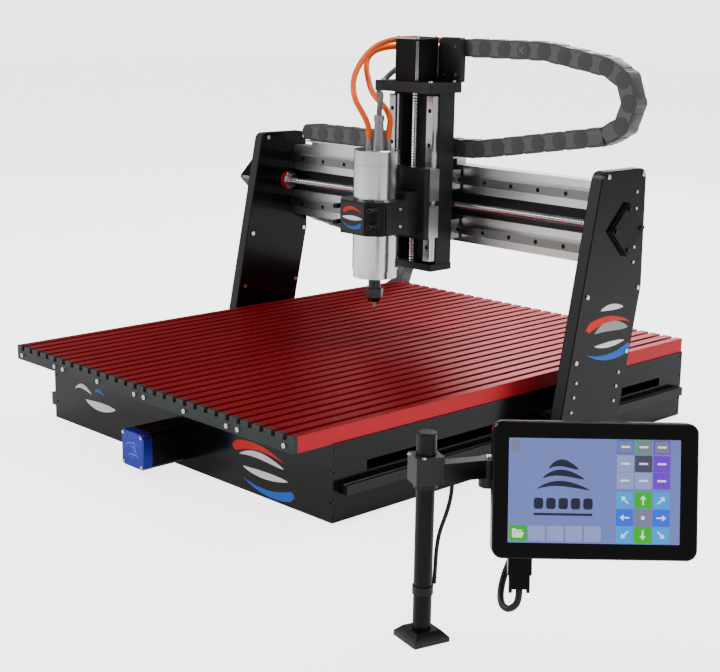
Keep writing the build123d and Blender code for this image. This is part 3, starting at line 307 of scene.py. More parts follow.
NODE_FINISHES = {
    RED: ("bed_panels_outer", "bed_panels_inner"),
    DARK_PLATE: ("end_plates",),
    SCREW: ("bed_screws", "cover_screws"),
    BRUSHED: ("beam", "bed_supports", "tie_bar", "y_nut", "x_nut"),
    CONNECTOR: ("spindle_fittings",),
    MACHINED: ("x_bearing_blocks", "z_bearing_blocks"),
    SHEET: ("side_profiles", "end_panels", "bottom_pan", "upright_covers", "y_chain_tray"),
    SATIN: ("uprights", "y_screw_bearings", "side_box", "x_screw_bearings", "y_bearing_blocks",
            "z_frame", "z_top_plate", "z_bottom_plate", "chain_bracket", "saddle_plate",
            "spindle_clamp", "clamp_cap", "pendant_arm", "pendant_forearm", "pendant_stand"),
    RAIL_X: ("x_rails",),
    RAIL_Y: ("y_rails",),
    RAIL_Z: ("z_rails",),
    SCREW_X: ("x_screw",),
    SCREW_Y: ("y_screw",),
    SCREW_Z: ("z_screw",),
    SPINDLE: ("spindle_housing",),
    COLLET: ("collet_nut",),
    CARBIDE: ("cutter",),
    MOTOR: ("y_motor", "x_motor", "z_motor"),
    BLUE: ("y_motor_cap",),
    PLASTIC: ("pendant_tablet",),
}


def paint_nodes() -> None:
    """Gives every carried-over CAD node its finish."""
    for finish, names in NODE_FINISHES.items():
        for name in names:
            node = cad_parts[name]
            node.data.materials.clear()
            node.data.materials.append(finish.material())
            log.info("painted %s with %s", name, finish.name)


# ---------------------------------------------------------------- mesh tools
@dataclass
class Piece:
    """A mesh under construction that becomes one named object.

    Attributes:
        name: The object's name.
        finish: Its finish.
        body: The CAD body it rides on.
        slot: The record's material slot it answers to; not used.
        shape: The mesh so far.
    """

    name: str
    finish: Finish
    body: str
    slot: str
    shape: bmesh.types.BMesh = field(default_factory=bmesh.new)

    def box(self, size: tuple, place: Matrix, bevel: float = 0.0) -> None:
        """Adds a box with softened edges.

        Args:
            size: Length along each of its own axes, in metres.
            place: Where it stands.
            bevel: Width of the softened edge.
        """
        made = bmesh.ops.create_cube(self.shape, size=1.0)["verts"]
        bmesh.ops.transform(self.shape, matrix=place @ Matrix.Diagonal((*size, 1)), verts=made)
        if bevel:
            edges = list(dict.fromkeys(edge for vert in made for edge in vert.link_edges))
            bmesh.ops.bevel(self.shape, geom=edges, offset=bevel, segments=2, affect="EDGES",
                            profile=0.6)

    def disc(self, radius: float, height: float, place: Matrix, sides: int = 32,
             bevel: float = 0.0) -> None:
        """Adds a short cylinder along its own Z.

        Args:
            radius: Its radius.
            height: Its height.
            place: The middle of its base.
            sides: How many sides it has.
            bevel: Width of the softened top edge.
        """
        lift = place @ Matrix.Translation((0, 0, height / 2))
        made = bmesh.ops.create_cone(self.shape, cap_ends=True, segments=sides, radius1=radius,
                                     radius2=radius, depth=height, matrix=lift)["verts"]
        if bevel:
            inverse = place.inverted()
            edges = dict.fromkeys(
                edge for vert in made for edge in vert.link_edges
                if all((inverse @ end.co).z > height * 0.9 for end in edge.verts))
            bmesh.ops.bevel(self.shape, geom=list(edges), offset=bevel, segments=3, affect="EDGES")

    def socket_screw(self, radius: float, height: float, place: Matrix) -> None:
        """Adds a socket screw head, a ring round a sunk hexagon.

        Args:
            radius: Radius of the head.
            height: Height of the head.
            place: The middle of its base, its own Z out of the surface.
        """
        self.disc(radius, height * SHOULDER_SHARE, place, HEAD_SIDES)
        socket = self._ring(radius * SOCKET_SHARE, height, SOCKET_CORNERS, place)
        rim = self._ring(radius * RIM_SHARE, height, HEAD_SIDES, place)
        shoulder = self._ring(radius, height * SHOULDER_SHARE, HEAD_SIDES, place)
        floor = self._ring(radius * SOCKET_SHARE, height * SOCKET_FLOOR, SOCKET_CORNERS, place)
        for inner, outer in ((socket, rim), (rim, shoulder), (floor, socket)):
            for k in range(HEAD_SIDES):
                after = (k + 1) % HEAD_SIDES
                self.shape.faces.new((inner[k], outer[k], outer[after], inner[after]))

    def _ring(self, reach: float, level: float, corners: int, place: Matrix) -> list:
        """Adds a ring of points round a screw head's axis.

        Args:
            reach: Distance of the points from the axis.
            level: Their height above the base.
            corners: How many corners the ring has; points between them move to a corner.
            place: The middle of the head's base.

        Returns:
            The new points.
        """
        ring = []
        for k in range(HEAD_SIDES):
            angle = 2 * math.pi * round(k * corners / HEAD_SIDES) / corners
            spot = Vector((reach * math.cos(angle), reach * math.sin(angle), level))
            ring.append(self.shape.verts.new(place @ spot))
        return ring

    def screws(self, head: tuple, spots: list, out: Vector, across: Vector) -> None:
        """Adds a row of socket screw heads.

        Args:
            head: Radius and height of each head.
            spots: The middles of their bases.
            out: Direction out of the surface.
            across: Any direction along the surface.
        """
        for spot in spots:
            self.socket_screw(*head, facing(Vector(spot), out, across))

    def outline(self, points: list | tuple, thickness: float, place: Matrix) -> None:
        """Adds a thin plate with a given outline in its own XY plane.

        Args:
            points: The outline's corners, in order.
            thickness: How far it stands out along its own Z.
            place: Where its plane is.
        """
        low = [self.shape.verts.new(place @ Vector((x, y, 0))) for x, y in points]
        high = [self.shape.verts.new(place @ Vector((x, y, thickness))) for x, y in points]
        self.shape.faces.new(high)
        self.shape.faces.new(low[::-1])
        for k in range(len(points)):
            after = (k + 1) % len(points)
            self.shape.faces.new((low[k], low[after], high[after], high[k]))

    def finish_up(self, smooth: float = 40.0) -> bpy.types.Object:
        """Turns the mesh into an object that rides on its body.

        Args:
            smooth: Angle in degrees below which edges are shaded smooth.

        Returns:
            The finished object.
        """
        bmesh.ops.remove_doubles(self.shape, verts=self.shape.verts, dist=1e-7)
        bmesh.ops.recalc_face_normals(self.shape, faces=self.shape.faces)
        mesh = bpy.data.meshes.new(self.name)
        self.shape.to_mesh(mesh)
        self.shape.free()
        for face in mesh.polygons:
            face.use_smooth = True
        mesh.set_sharp_from_angle(angle=math.radians(smooth))
        made = bpy.data.objects.new(self.name, mesh)
        bpy.context.scene.collection.objects.link(made)
        mesh.materials.append(self.finish.material())
        if self.body:
            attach(made, self.body)
        log.info("made %s", self.name)
        return made


def facing(origin: Vector, out: Vector, across: Vector) -> Matrix:
    """A frame on a surface.

    Args:
        origin: Its origin.
        out: Its own Z, away from the surface.
        across: Its own X.

    Returns:
        The frame as a matrix.
    """
    z_axis = out.normalized()
    x_axis = (across - z_axis * across.dot(z_axis)).normalized()
    y_axis = z_axis.cross(x_axis)
    turn = Matrix((x_axis, y_axis, z_axis)).transposed().to_4x4()
    return Matrix.Translation(origin) @ turn


def swoosh(length: float, rise: float, width: float, steps: int = 24) -> list:
    """The outline of a curved stroke that tapers to both ends.

    Args:
        length: From tip to tip.
        rise: How far the middle bows upwards.
        width: Its widest part.
        steps: Points along each side.

    Returns:
        The outline's corners.
    """
    upper, lower = [], []
    for k in range(steps + 1):
        share = k / steps
        bow = rise * math.sin(math.pi * share ** 0.8)
        half = width / 2 * math.sin(math.pi * share) ** 0.7
        upper.append((length * (share - 0.5), bow + half))
        lower.append((length * (share - 0.5), bow - half))
    return upper + lower[-2:0:-1]


def blade(length: float, rise: float, width: float, steps: int = 24) -> list:
    """The outline of a curved stroke, broad at its left end and pointed at its right.

    Args:
        length: From end to end.
        rise: How far the middle bows, upwards if positive.
        width: Its width at the broad end.
        steps: Points along each side.

    Returns:
        The outline's corners.
    """
    upper, lower = [], []
    for k in range(steps + 1):
        share = k / steps
        bow = rise * (1 - (2 * share - 1) ** 2)
        half = width / 2 * (1 - share) ** 0.8 * min(1.0, 0.25 + share * 9)
        upper.append((length * (share - 0.5), bow + half))
        lower.append((length * (share - 0.5), bow - half))
    return upper + lower[-2:0:-1]


def turned(points: list) -> list:
    """Gives the same outline turned half round in its plane.

    Args:
        points: The outline's corners.

    Returns:
        The turned corners.
    """
    return [(-x, -y) for x, y in points]


def rail_holes(length: float) -> list:
    """Where a rail's holes lie, measured from its middle.

    Args:
        length: The rail's length.

    Returns:
        The distances.
    """
    count = int((length - HOLE_MARGIN) // HOLE_PITCH) + 1
    return [(number - (count - 1) / 2) * HOLE_PITCH for number in range(count)]


def add_marks(face: Matrix, body: str, slot: str, marks: tuple) -> None:
    """Adds flat coloured strokes on a face.

    Args:
        face: The frame on the face.
        body: The body that they ride on.
        slot: The record's material slot under them.
        marks: Each mark's name, finish, middle and outline.
    """
    for name, finish, spot, stroke in marks:
        piece = Piece(name, finish, body, slot)
        piece.outline(stroke, MARK, face @ Matrix.Translation((*spot, 0)))
        piece.finish_up()


def rounded(width: float, height: float, radius: float, steps: int = 5) -> list:
    """The outline of a rectangle with round corners.

    Args:
        width: Its width.
        height: Its height.
        radius: Its corners' radius.
        steps: Points round each corner.

    Returns:
        The outline's corners.
    """
    points = []
    for quarter, (side_x, side_y) in enumerate(((1, 1), (-1, 1), (-1, -1), (1, -1))):
        for k in range(steps + 1):
            angle = math.radians(90 * quarter + 90 * k / steps)
            points.append((side_x * (width / 2 - radius) + radius * math.cos(angle),
                           side_y * (height / 2 - radius) + radius * math.sin(angle)))
    return points


# ---------------------------------------------------------------- cable chains
@dataclass
class ChainRun:
    """A stretch of cable chain built link by link along its route.

    Attributes:
        name: The object's name.
        node: The CAD solid it stands for.
        body: The body it rides on, or the body at its start.
        route: Points along its middle, in metres.
        side: The direction across the chain.
        links: How many links it has.
        other: The body at its far end, for a run that changes length.
        width: How wide the chain is.
        height: How high it is.
        link_inset: How much narrower the links' shells are than the chain.
        link_gap: Space between one link's shell and the next.
        bar: Share of the pitch, inset across, thickness and bevel of each cross bar.
        cheek: Shares of the pitch, height and corner, and the thickness, of each side plate.
        bosses: Radius as a share of the height, and height in millimetres, of each boss step.
    """

    name: str
    node: str
    body: str
    route: list
    side: Vector
    links: int
    other: str = ""
    width: float = 30 * MM
    height: float = 33 * MM
    link_inset: float = 2.4 * MM
    link_gap: float = 1.6 * MM
    bar: tuple = (0.42, 3 * MM, 2.4 * MM, 0.6 * MM)
    cheek: tuple = (0.96, 0.72, 0.3, 0.9 * MM)
    bosses: tuple = ((0.46, 0.9), (0.36, 1.2), (0.24, 1.5), (0.09, 1.8))

    def spots(self) -> list:
        """Link middles, directions and the link pitch along the route.

        Returns:
            (place, direction, pitch) for each link.
        """
        lengths = [0.0]
        for here, after in zip(self.route, self.route[1:]):
            lengths.append(lengths[-1] + (after - here).length)
        pitch = lengths[-1] / self.links
        found = []
        for number in range(self.links):
            start = self._at(pitch * number, lengths)
            end = self._at(pitch * (number + 1), lengths)
            found.append(((start + end) / 2, (end - start).normalized(), pitch))
        return found

    def _at(self, distance: float, lengths: list) -> Vector:
        """Finds a point along the route.

        Args:
            distance: Distance from the route's start.
            lengths: The same distance for each of the route's points.

        Returns:
            The point.
        """
        last = len(self.route) - 2
        k = next((k for k in range(last) if distance <= lengths[k + 1]), last)
        share = (distance - lengths[k]) / (lengths[k + 1] - lengths[k])
        return self.route[k].lerp(self.route[k + 1], share)

    def make(self) -> bpy.types.Object:
        """Builds the links.

        Returns:
            The finished object.
        """
        piece = Piece(self.name, CHAIN, "" if self.other else self.body, "chain_plastic")
        for place, along, pitch in self.spots():
            out = along.cross(self.side).normalized()
            hinge = facing(place - along * pitch / 2 - self.side * (self.width / 2 - 0.9 * MM),
                           self.side, along)
            piece.disc(self.height / 2 - 1.3 * MM, self.width - 1.8 * MM, hinge, 32)
            link = facing(place, self.side, along)
            shell = self.width - self.link_inset
            piece.box((pitch - self.link_gap, self.height - self.link_inset, shell), link,
                      0.8 * MM)
            for level in (-1, 1):
                bar = facing(place + out * level * (self.height / 2 - 1.4 * MM), out * level, along)
                share, inset, thick, bevel = self.bar
                piece.box((pitch * share, shell - inset, thick), bar, bevel)
            for side in (-1, 1):
                cheek = facing(place + self.side * side * (shell / 2 - 0.2 * MM),
                               self.side * side, along)
                share, tall, corner, thick = self.cheek
                piece.outline(rounded(pitch * share, self.height * tall, self.height * corner),
                              thick, cheek)
                hub = cheek @ Matrix.Translation((-0.5 * pitch, 0, 0.2 * MM))
                for share, lift in self.bosses:
                    piece.disc(self.height * share, lift * MM, hub, 32, 0.25 * MM)
        made = piece.finish_up()
        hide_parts(self.node)
        if self.other:
            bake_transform(made)
        return made


@dataclass
class CableChain:
    """A cable chain of two runs and a return bend in one upright plane.

    Attributes:
        name: Plain name, used for its pieces.
        nodes: CAD nodes of the upper run, lower run, upper bend and lower bend.
        bodies: Bodies of the moving end, the fixed end, the upper bend and the lower bend.
        along: The chain's own direction.
        origin: A point in its plane with zero height and zero distance along.
        centre: Middle of the bend as distance along and height.
        radius: Radius of the bend.
        slope: Slope of the upper run at the bend, in degrees.
        low_slope: The same for the lower run.
        upper: Points of the upper run before the bend.
        lower: Points of the lower run before the bend.
        link_counts: Links in the upper run and the lower run.
        bend_links: Links in each half of the bend.
        bend_steps: Points along each half of the bend, less one.
    """

    name: str
    nodes: tuple
    bodies: tuple
    along: Vector
    origin: Vector
    centre: tuple
    radius: float
    slope: float
    low_slope: float
    upper: list
    lower: list
    link_counts: tuple
    bend_links: int = 2
    bend_steps: int = 24

    def point(self, distance: float, height: float) -> Vector:
        """A point of the chain's plane.

        Args:
            distance: Distance along.
            height: Height above the ground.

        Returns:
            The point.
        """
        return self.origin + self.along * distance + UP * height

    def bend(self, start: float, end: float) -> list:
        """Points on the bend between two angles.

        Args:
            start: First angle in degrees from the chain's own direction.
            end: Last angle.

        Returns:
            The points.
        """
        points = []
        for k in range(self.bend_steps + 1):
            angle = math.radians(start + (end - start) * k / self.bend_steps)
            points.append(self.point(self.centre[0] + self.radius * math.cos(angle),
                                     self.centre[1] + self.radius * math.sin(angle)))
        return points

    def make(self) -> None:
        """Builds the four stretches."""
        side = self.along.cross(UP)
        high, low = 90 - self.slope, -90 + self.low_slope
        upper = [self.point(*spot) for spot in self.upper] + [self.bend(high, high)[0]]
        lower = [self.point(*spot) for spot in self.lower] + [self.bend(low, low)[0]]
        moving, fixed, bend_high, bend_low = self.bodies
        runs = (("upper", moving, upper, self.link_counts[0], bend_high),
                ("lower", fixed, lower, self.link_counts[1], bend_low),
                ("bend_upper", bend_high, self.bend(high, 0), self.bend_links, ""),
                ("bend_lower", bend_low, self.bend(0, low), self.bend_links, ""))
        for node, (name, body, route, links, other) in zip(self.nodes, runs):
            ChainRun(f"{self.name}_links_{name}", node, body, route, side, links, other).make()


# ---------------------------------------------------------------- hoses and cables
@dataclass
class Tube:
    """A hose or cable that follows a smooth curve through its route.

    Attributes:
        name: The object's name.
        node: The CAD solid it stands for.
        finish: Its finish.
        slot: The record's material slot; not used.
        radius: Its radius in millimetres.
        route: Its points in millimetres.
        bodies: The body it rides on, or the two bodies that it joins.
        lay: How it lies; not used.
        stiffness: How stiff it is; not used.
    """

    name: str
    node: str
    finish: Finish
    slot: str
    radius: float
    route: list
    bodies: tuple
    lay: str = "loose"
    stiffness: str = "medium"

    def line(self, bevel: float) -> bpy.types.Object:
        """The route as a curve object.

        Args:
            bevel: Radius of the tube round it, or 0 for the bare line.

        Returns:
            The curve object, which isn't linked to the scene.
        """
        curve = bpy.data.curves.new(self.name, "CURVE")
        curve.dimensions = "3D"
        curve.resolution_u = 10
        spline = curve.splines.new("NURBS")
        spline.points.add(len(self.route) - 1)
        for point, (x, y, z) in zip(spline.points, self.route):
            point.co = (x * MM, y * MM, z * MM, 1)
        spline.order_u = 3
        spline.use_endpoint_u = True
        curve.bevel_depth = bevel
        curve.bevel_resolution = 5
        curve.use_fill_caps = True
        return bpy.data.objects.new(self.name + "_line", curve)

    def make(self) -> bpy.types.Object:
        """Returns:
            The finished object.
        """
        bare = bpy.data.meshes.new_from_object(self.line(0))
        mesh = bpy.data.meshes.new_from_object(self.line(self.radius * MM))
        for face in mesh.polygons:
            face.use_smooth = True
        mesh.materials.clear()
        mesh.materials.append(self.finish.material())
        made = bpy.data.objects.new(self.name, mesh)
        bpy.context.scene.collection.objects.link(made)
        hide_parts(self.node)
        if len(self.bodies) == 1:
            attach(made, self.bodies[0])
        else:
            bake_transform(made)
        return made


# ---------------------------------------------------------------- sub-assemblies
@dataclass
class Bed:
    """The marks and screws of the chassis under the slotted bed.

    Attributes:
        stroke: Length, rise and width of the two broad strokes.
        screw: Radius and height of the screws' heads.
        side_levels: Heights of the screws on each side.
        side_inset: How far those screws are from the ends.
        front_levels: Heights of the screws at the front.
        front_inset: How far those screws are from the sides.
    """

    stroke: tuple = (0.120, 0.011, 0.017)
    screw: tuple = (2.1 * MM, 1.2 * MM)
    side_levels: tuple = (0.007, 0.034, 0.075, 0.110)
    side_inset: float = 0.004
    front_levels: tuple = (0.030, 0.078)
    front_inset: float = 0.006

    def make(self) -> None:
        """Builds the chassis details."""
        low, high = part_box("end_panels")
        self._front_marks(low.y)
        self._corner_screws(low, high)

    def _front_marks(self, front: float) -> None:
        """Adds plain coloured strokes to the front panel.

        Args:
            front: How far forward the panel is.
        """
        broad = blade(*self.stroke)
        add_marks(facing(Vector((0, front, 0)), -BACK, RIGHT), "root", "black_sheet", (
            ("front_mark_red", RED_MARK, (0.196, 0.064), broad),
            ("front_mark_blue", BLUE_MARK, (0.222, 0.020), turned(broad)),
            ("front_mark_white_high", WHITE_MARK, (0.205, 0.055), swoosh(0.104, 0.008, 0.010)),
            ("front_mark_white_low", WHITE_MARK, (0.214, 0.038), swoosh(0.104, -0.003, 0.011)),
            ("left_mark_wave", WHITE_MARK, (-0.272, 0.065), swoosh(0.050, 0.009, 0.008)),
            ("left_mark_white", WHITE_MARK, (-0.220, 0.052), swoosh(0.090, -0.004, 0.015)),
            ("left_mark_blue", BLUE_MARK, (-0.222, 0.070), swoosh(0.030, 0.006, 0.007))))

    def _corner_screws(self, low: Vector, high: Vector) -> None:
        """Adds the small screws at the chassis corners and along its sides.

        Args:
            low: Lowest corner of the end panels.
            high: Highest corner of the end panels.
        """
        piece = Piece("chassis_screws", BLACK_SCREW, "root", "screw_steel")
        for side, out in ((low.x, -RIGHT), (high.x, RIGHT)):
            piece.screws(self.screw, [(side, y, z)
                                      for y in (low.y + self.side_inset, high.y - self.side_inset)
                                      for z in self.side_levels], out, BACK)
        piece.screws(self.screw, [(x, low.y, z)
                                  for x in (low.x + self.front_inset, high.x - self.front_inset)
                                  for z in self.front_levels], -BACK, RIGHT)
        piece.finish_up()


@dataclass
class Motor:
    """The visible detail of a square stepper motor.

    Attributes:
        name: Plain name, used for its pieces.
        body: The body it rides on.
        base: The middle of its mounting face.
        out: Direction from its mounting face to its end.
        across: One side's direction.
        length: Its length.
        half: Half its width.
        cap: Thickness of the end cap that is drawn over its end, or 0 for none.
        cap_finish: The end cap's finish.
        strip_inset: How far the middles of the corner strips are from the sides.
        ribs: Offset of each strip's ribs from its middle.
        rib: Depth, width and bevel of a rib.
        screw_inset: How far the end screws are from the sides.
        screw: Radius and height of their heads.
    """

    name: str
    body: str
    base: Vector
    out: Vector
    across: Vector
    length: float
    half: float = 28.5 * MM
    cap: float = 0.0
    cap_finish: Finish = SCREW
    strip_inset: float = 2.25 * MM
    ribs: tuple = (-1.9 * MM, 0, 1.9 * MM)
    rib: tuple = (0.5 * MM, 0.9 * MM, 0.15 * MM)
    screw_inset: float = 5.2 * MM
    screw: tuple = (2.6 * MM, 1.6 * MM)

    def make(self) -> None:
        """Builds corner strips, end cap and screws."""
        place = facing(self.base, self.out, self.across)
        corners = ((1, 1), (-1, 1), (-1, -1), (1, -1))
        strips = Piece(f"{self.name}_strips", LAMINATION, self.body, "screw_steel")
        corner = self.half - self.strip_inset
        depth, width, bevel = self.rib
        for side_x, side_y in corners:
            turn = Matrix.Rotation(math.atan2(side_y, side_x), 4, "Z")
            spot = Matrix.Translation((side_x * corner, side_y * corner, self.length * 0.47))
            for step in self.ribs:
                rib = turn @ Matrix.Translation((0, step, 0))
                strips.box((depth, width, self.length * 0.9), place @ spot @ rib, bevel)
        strips.finish_up()
        ends = Piece(f"{self.name}_end_screws", SCREW, self.body, "screw_steel")
        corner = self.half - self.screw_inset
        for side_x, side_y in corners:
            spot = Matrix.Translation((side_x * corner, side_y * corner, self.length))
            ends.socket_screw(*self.screw, place @ spot)
        ends.finish_up()
        if self.cap:
            lid = Piece(f"{self.name}_end_cap", self.cap_finish, self.body, "screw_steel")
            lift = place @ Matrix.Translation((0, 0, self.length - self.cap))
            lid.outline(rounded(2 * self.half + 0.6 * MM, 2 * self.half + 0.6 * MM, 4 * MM),
                        self.cap, lift)
            lid.finish_up()


@dataclass
class BlueCap:
    """The engraved end cap of the Y motor."""

    def make(self) -> None:
        """Builds the engraved strokes on the cap."""
        low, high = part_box("y_motor_cap")
        face = facing(Vector((0, low.y, (low.z + high.z) / 2)), -BACK, RIGHT)
        piece = Piece("motor_cap_engraving", PALE_BLUE, "root", "motor_blue")
        for turn, spot, stroke in ((20, (-0.004, 0.004), swoosh(0.034, 0.007, 0.0016)),
                                   (-35, (0.003, -0.003), swoosh(0.030, 0.005, 0.0014)),
                                   (75, (-0.001, 0.001), swoosh(0.036, -0.006, 0.0013)),
                                   (5, (0.002, -0.011), swoosh(0.030, 0.004, 0.0022)),
                                   (110, (0.009, 0.006), swoosh(0.018, 0.003, 0.0012))):
            place = Matrix.Translation((*spot, 0)) @ Matrix.Rotation(math.radians(turn), 4, "Z")
            piece.outline(stroke, 0.2 * MM, face @ place)
        piece.finish_up()


@dataclass
class Gantry:
    """Uprights and beam.

    Attributes:
        recess_plate: Thickness and height of the dark plate at the bottom of the beam's recess.
        recess_plate_depth: How far that plate is behind the rails.
        collar_steps: Whether each ring round the X screw is bright, and its start, radius and
            thickness in millimetres.
        collar_screws: Number, start, distance from the axis, and head of the collar's screws.
        mark_place: How far back the upright's marks are.
        mark_stroke: Length, rise and width of their two broad strokes.
        rail_levels: Heights of the X rails' middles.
    """

    recess_plate: tuple = (1.0 * MM, 40.6 * MM)
    recess_plate_depth: float = 13.4 * MM
    collar_steps: tuple = ((False, 0.1, 18.0, 5.0), (True, 5.3, 17.0, 5.0), (True, 10.5, 13.0, 7.0))
    collar_screws: tuple = (6, 10.3 * MM, 14 * MM, (1.6 * MM, 1.5 * MM))
    mark_place: float = 0.118
    mark_stroke: tuple = (0.118, 0.012, 0.017)
    rail_levels: tuple = (422.0 * MM, 333.0 * MM)

    def make(self) -> None:
        """Builds the dark plate in the beam's recess, the screw's collars, the upright's marks and
        the rail screws.
        """
        low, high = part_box("beam")
        thick, tall = self.recess_plate
        # A dark plate that makes the bottom of the beam's recess dark.
        recess_plate = Piece("beam_recess_dark_plate", SATIN, "gantry", "black_satin")
        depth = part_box("x_rails")[1].y + self.recess_plate_depth
        recess_plate.box((high.x - low.x - 0.4 * MM, thick, tall),
                  Matrix.Translation((0, depth, X_SCREW_Z)))
        recess_plate.finish_up()
        self._upright_marks()
        self._rail_screws()
        self._screw_collar(high.x)

    def _screw_collar(self, inner: float) -> None:
        """Adds the bright collar and red seal at each end of the X screw.

        Args:
            inner: How far the beam's ends are from its middle.
        """
        count, start, reach, head = self.collar_screws
        for side, name in ((-1, "left"), (1, "right")):
            out = RIGHT * -side
            collar = Piece(f"x_screw_collar_{name}", SCREW, "gantry", "screw_steel")
            seal = Piece(f"x_screw_seal_{name}", RED_MARK, "gantry", "screw_steel")
            for bright, begin, radius, thick in self.collar_steps:
                base = Vector((side * (inner - begin * MM), X_SCREW_Y, X_SCREW_Z))
                (collar if bright else seal).disc(radius * MM, thick * MM,
                                                  facing(base, out, BACK), 40, 0.8 * MM)
            angles = [math.radians(360 / count * turn) for turn in range(count)]
            collar.screws(head, [(side * (inner - start), X_SCREW_Y + reach * math.cos(angle),
                                  X_SCREW_Z + reach * math.sin(angle)) for angle in angles],
                          out, BACK)
            seal.finish_up()
            collar.finish_up()

    def _upright_marks(self) -> None:
        """Adds the plain coloured strokes on the right upright."""
        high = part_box("upright_covers")[1]
        broad = blade(*self.mark_stroke)
        face = facing(Vector((high.x, self.mark_place, 0)), RIGHT, BACK)
        add_marks(face, "gantry", "black_sheet", (
            ("upright_mark_white", WHITE_MARK, (0.005, 0.250), swoosh(0.060, 0.003, 0.010)),
            ("upright_mark_red", RED_MARK, (-0.003, 0.222), broad),
            ("upright_mark_grey", GREY_MARK, (0.006, 0.214), swoosh(0.090, 0.008, 0.017)),
            ("upright_mark_pale", WHITE_MARK, (0.003, 0.193), swoosh(0.080, -0.002, 0.009)),
            ("upright_mark_blue", BLUE_MARK, (0.002, 0.182), turned(broad))))

    def _rail_screws(self) -> None:
        """Adds the screws sunk in the rails' holes."""
        low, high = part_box("x_rails")
        piece = Piece("x_rail_screws", BLACK_SCREW, "gantry", "screw_steel")
        piece.screws(RAIL_SCREW, [(x, low.y + HOLE_SINK, level) for level in self.rail_levels
                                  for x in rail_holes(high.x - low.x)], -BACK, RIGHT)
        piece.finish_up()


@dataclass
class ZAssembly:
    """The Z frame, its screws and the spindle's clamp.

    Attributes:
        rail_side: How far the Z rails' middles are from the machine's middle.
        plate_screw: Radius and height of the top plate's screw heads.
        plate_side: How far they are from the middle.
        plate_insets: How far they are from the plate's front and back.
        bracket_spots: Places of the chain bracket's screws across and up.
        small_screw: Radius and height of the small screws' heads.
        clamp_depth: How far back the clamp's side screws are.
        clamp_inset: How far they are from the clamp's ends.
        badge_inset: How far the badge is behind the cap's front.
        badge_level: Height of the badge's middle.
        badge_stroke: Length, rise and width of its two broad strokes.
    """

    rail_side: float = 46 * MM
    plate_screw: tuple = (4.0 * MM, 3.0 * MM)
    plate_side: float = 58 * MM
    plate_insets: tuple = (12 * MM, 10 * MM)
    bracket_spots: tuple = ((30 * MM, 606 * MM), (56 * MM, 606 * MM), (56 * MM, 655 * MM))
    small_screw: tuple = (2.6 * MM, 1.8 * MM)
    clamp_depth: float = 8 * MM
    clamp_inset: float = 14 * MM
    badge_inset: float = 2.0 * MM
    badge_level: float = 365 * MM
    badge_stroke: tuple = (0.046, 0.007, 0.009)

    def make(self) -> None:
        """Builds rail screws, plate screws, clamp screws and badge."""
        low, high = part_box("z_rails")
        screws = Piece("z_rail_screws", BLACK_SCREW, "x_carriage", "screw_steel")
        screws.screws(RAIL_SCREW, [(side * self.rail_side, low.y + HOLE_SINK,
                                    (low.z + high.z) / 2 + step) for side in (-1, 1)
                                   for step in rail_holes(high.z - low.z)], -BACK, RIGHT)
        screws.finish_up()
        self._top_screws()
        self._clamp()

    def _top_screws(self) -> None:
        """Adds the screws in the top plate and in the chain's bracket."""
        low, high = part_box("z_top_plate")
        piece = Piece("top_plate_screws", SCREW, "x_carriage", "screw_steel")
        front, back = self.plate_insets
        piece.screws(self.plate_screw, [(x, y, high.z) for x in (-self.plate_side, self.plate_side)
                                        for y in (low.y + front, high.y - back)], UP, RIGHT)
        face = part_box("chain_bracket")[0].y
        piece.screws(self.small_screw, [(x, face, z) for x, z in self.bracket_spots], -BACK, RIGHT)
        piece.finish_up()

    def _clamp(self) -> None:
        """Adds the clamp's side screws and the strokes on its badge."""
        low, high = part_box("spindle_clamp")
        cap_low, cap_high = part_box("clamp_cap")
        levels = (cap_low.z + self.clamp_inset, cap_high.z - self.clamp_inset)
        piece = Piece("clamp_side_screws", SCREW, "z_carriage", "screw_steel")
        for side, out in ((low.x, -RIGHT), (high.x, RIGHT)):
            piece.screws(self.small_screw, [(side, self.clamp_depth, z) for z in levels], out, BACK)
        piece.finish_up()
        broad = blade(*self.badge_stroke)
        badge = facing(Vector((0, cap_low.y + self.badge_inset, self.badge_level)), -BACK, RIGHT)
        add_marks(badge, "z_carriage", "black_satin", (
            ("badge_red", RED_MARK, (0, 0.010), broad),
            ("badge_white", WHITE_MARK, (0, 0.000), swoosh(0.050, 0.0, 0.008)),
            ("badge_blue", BLUE_MARK, (0, -0.010), turned(broad))))


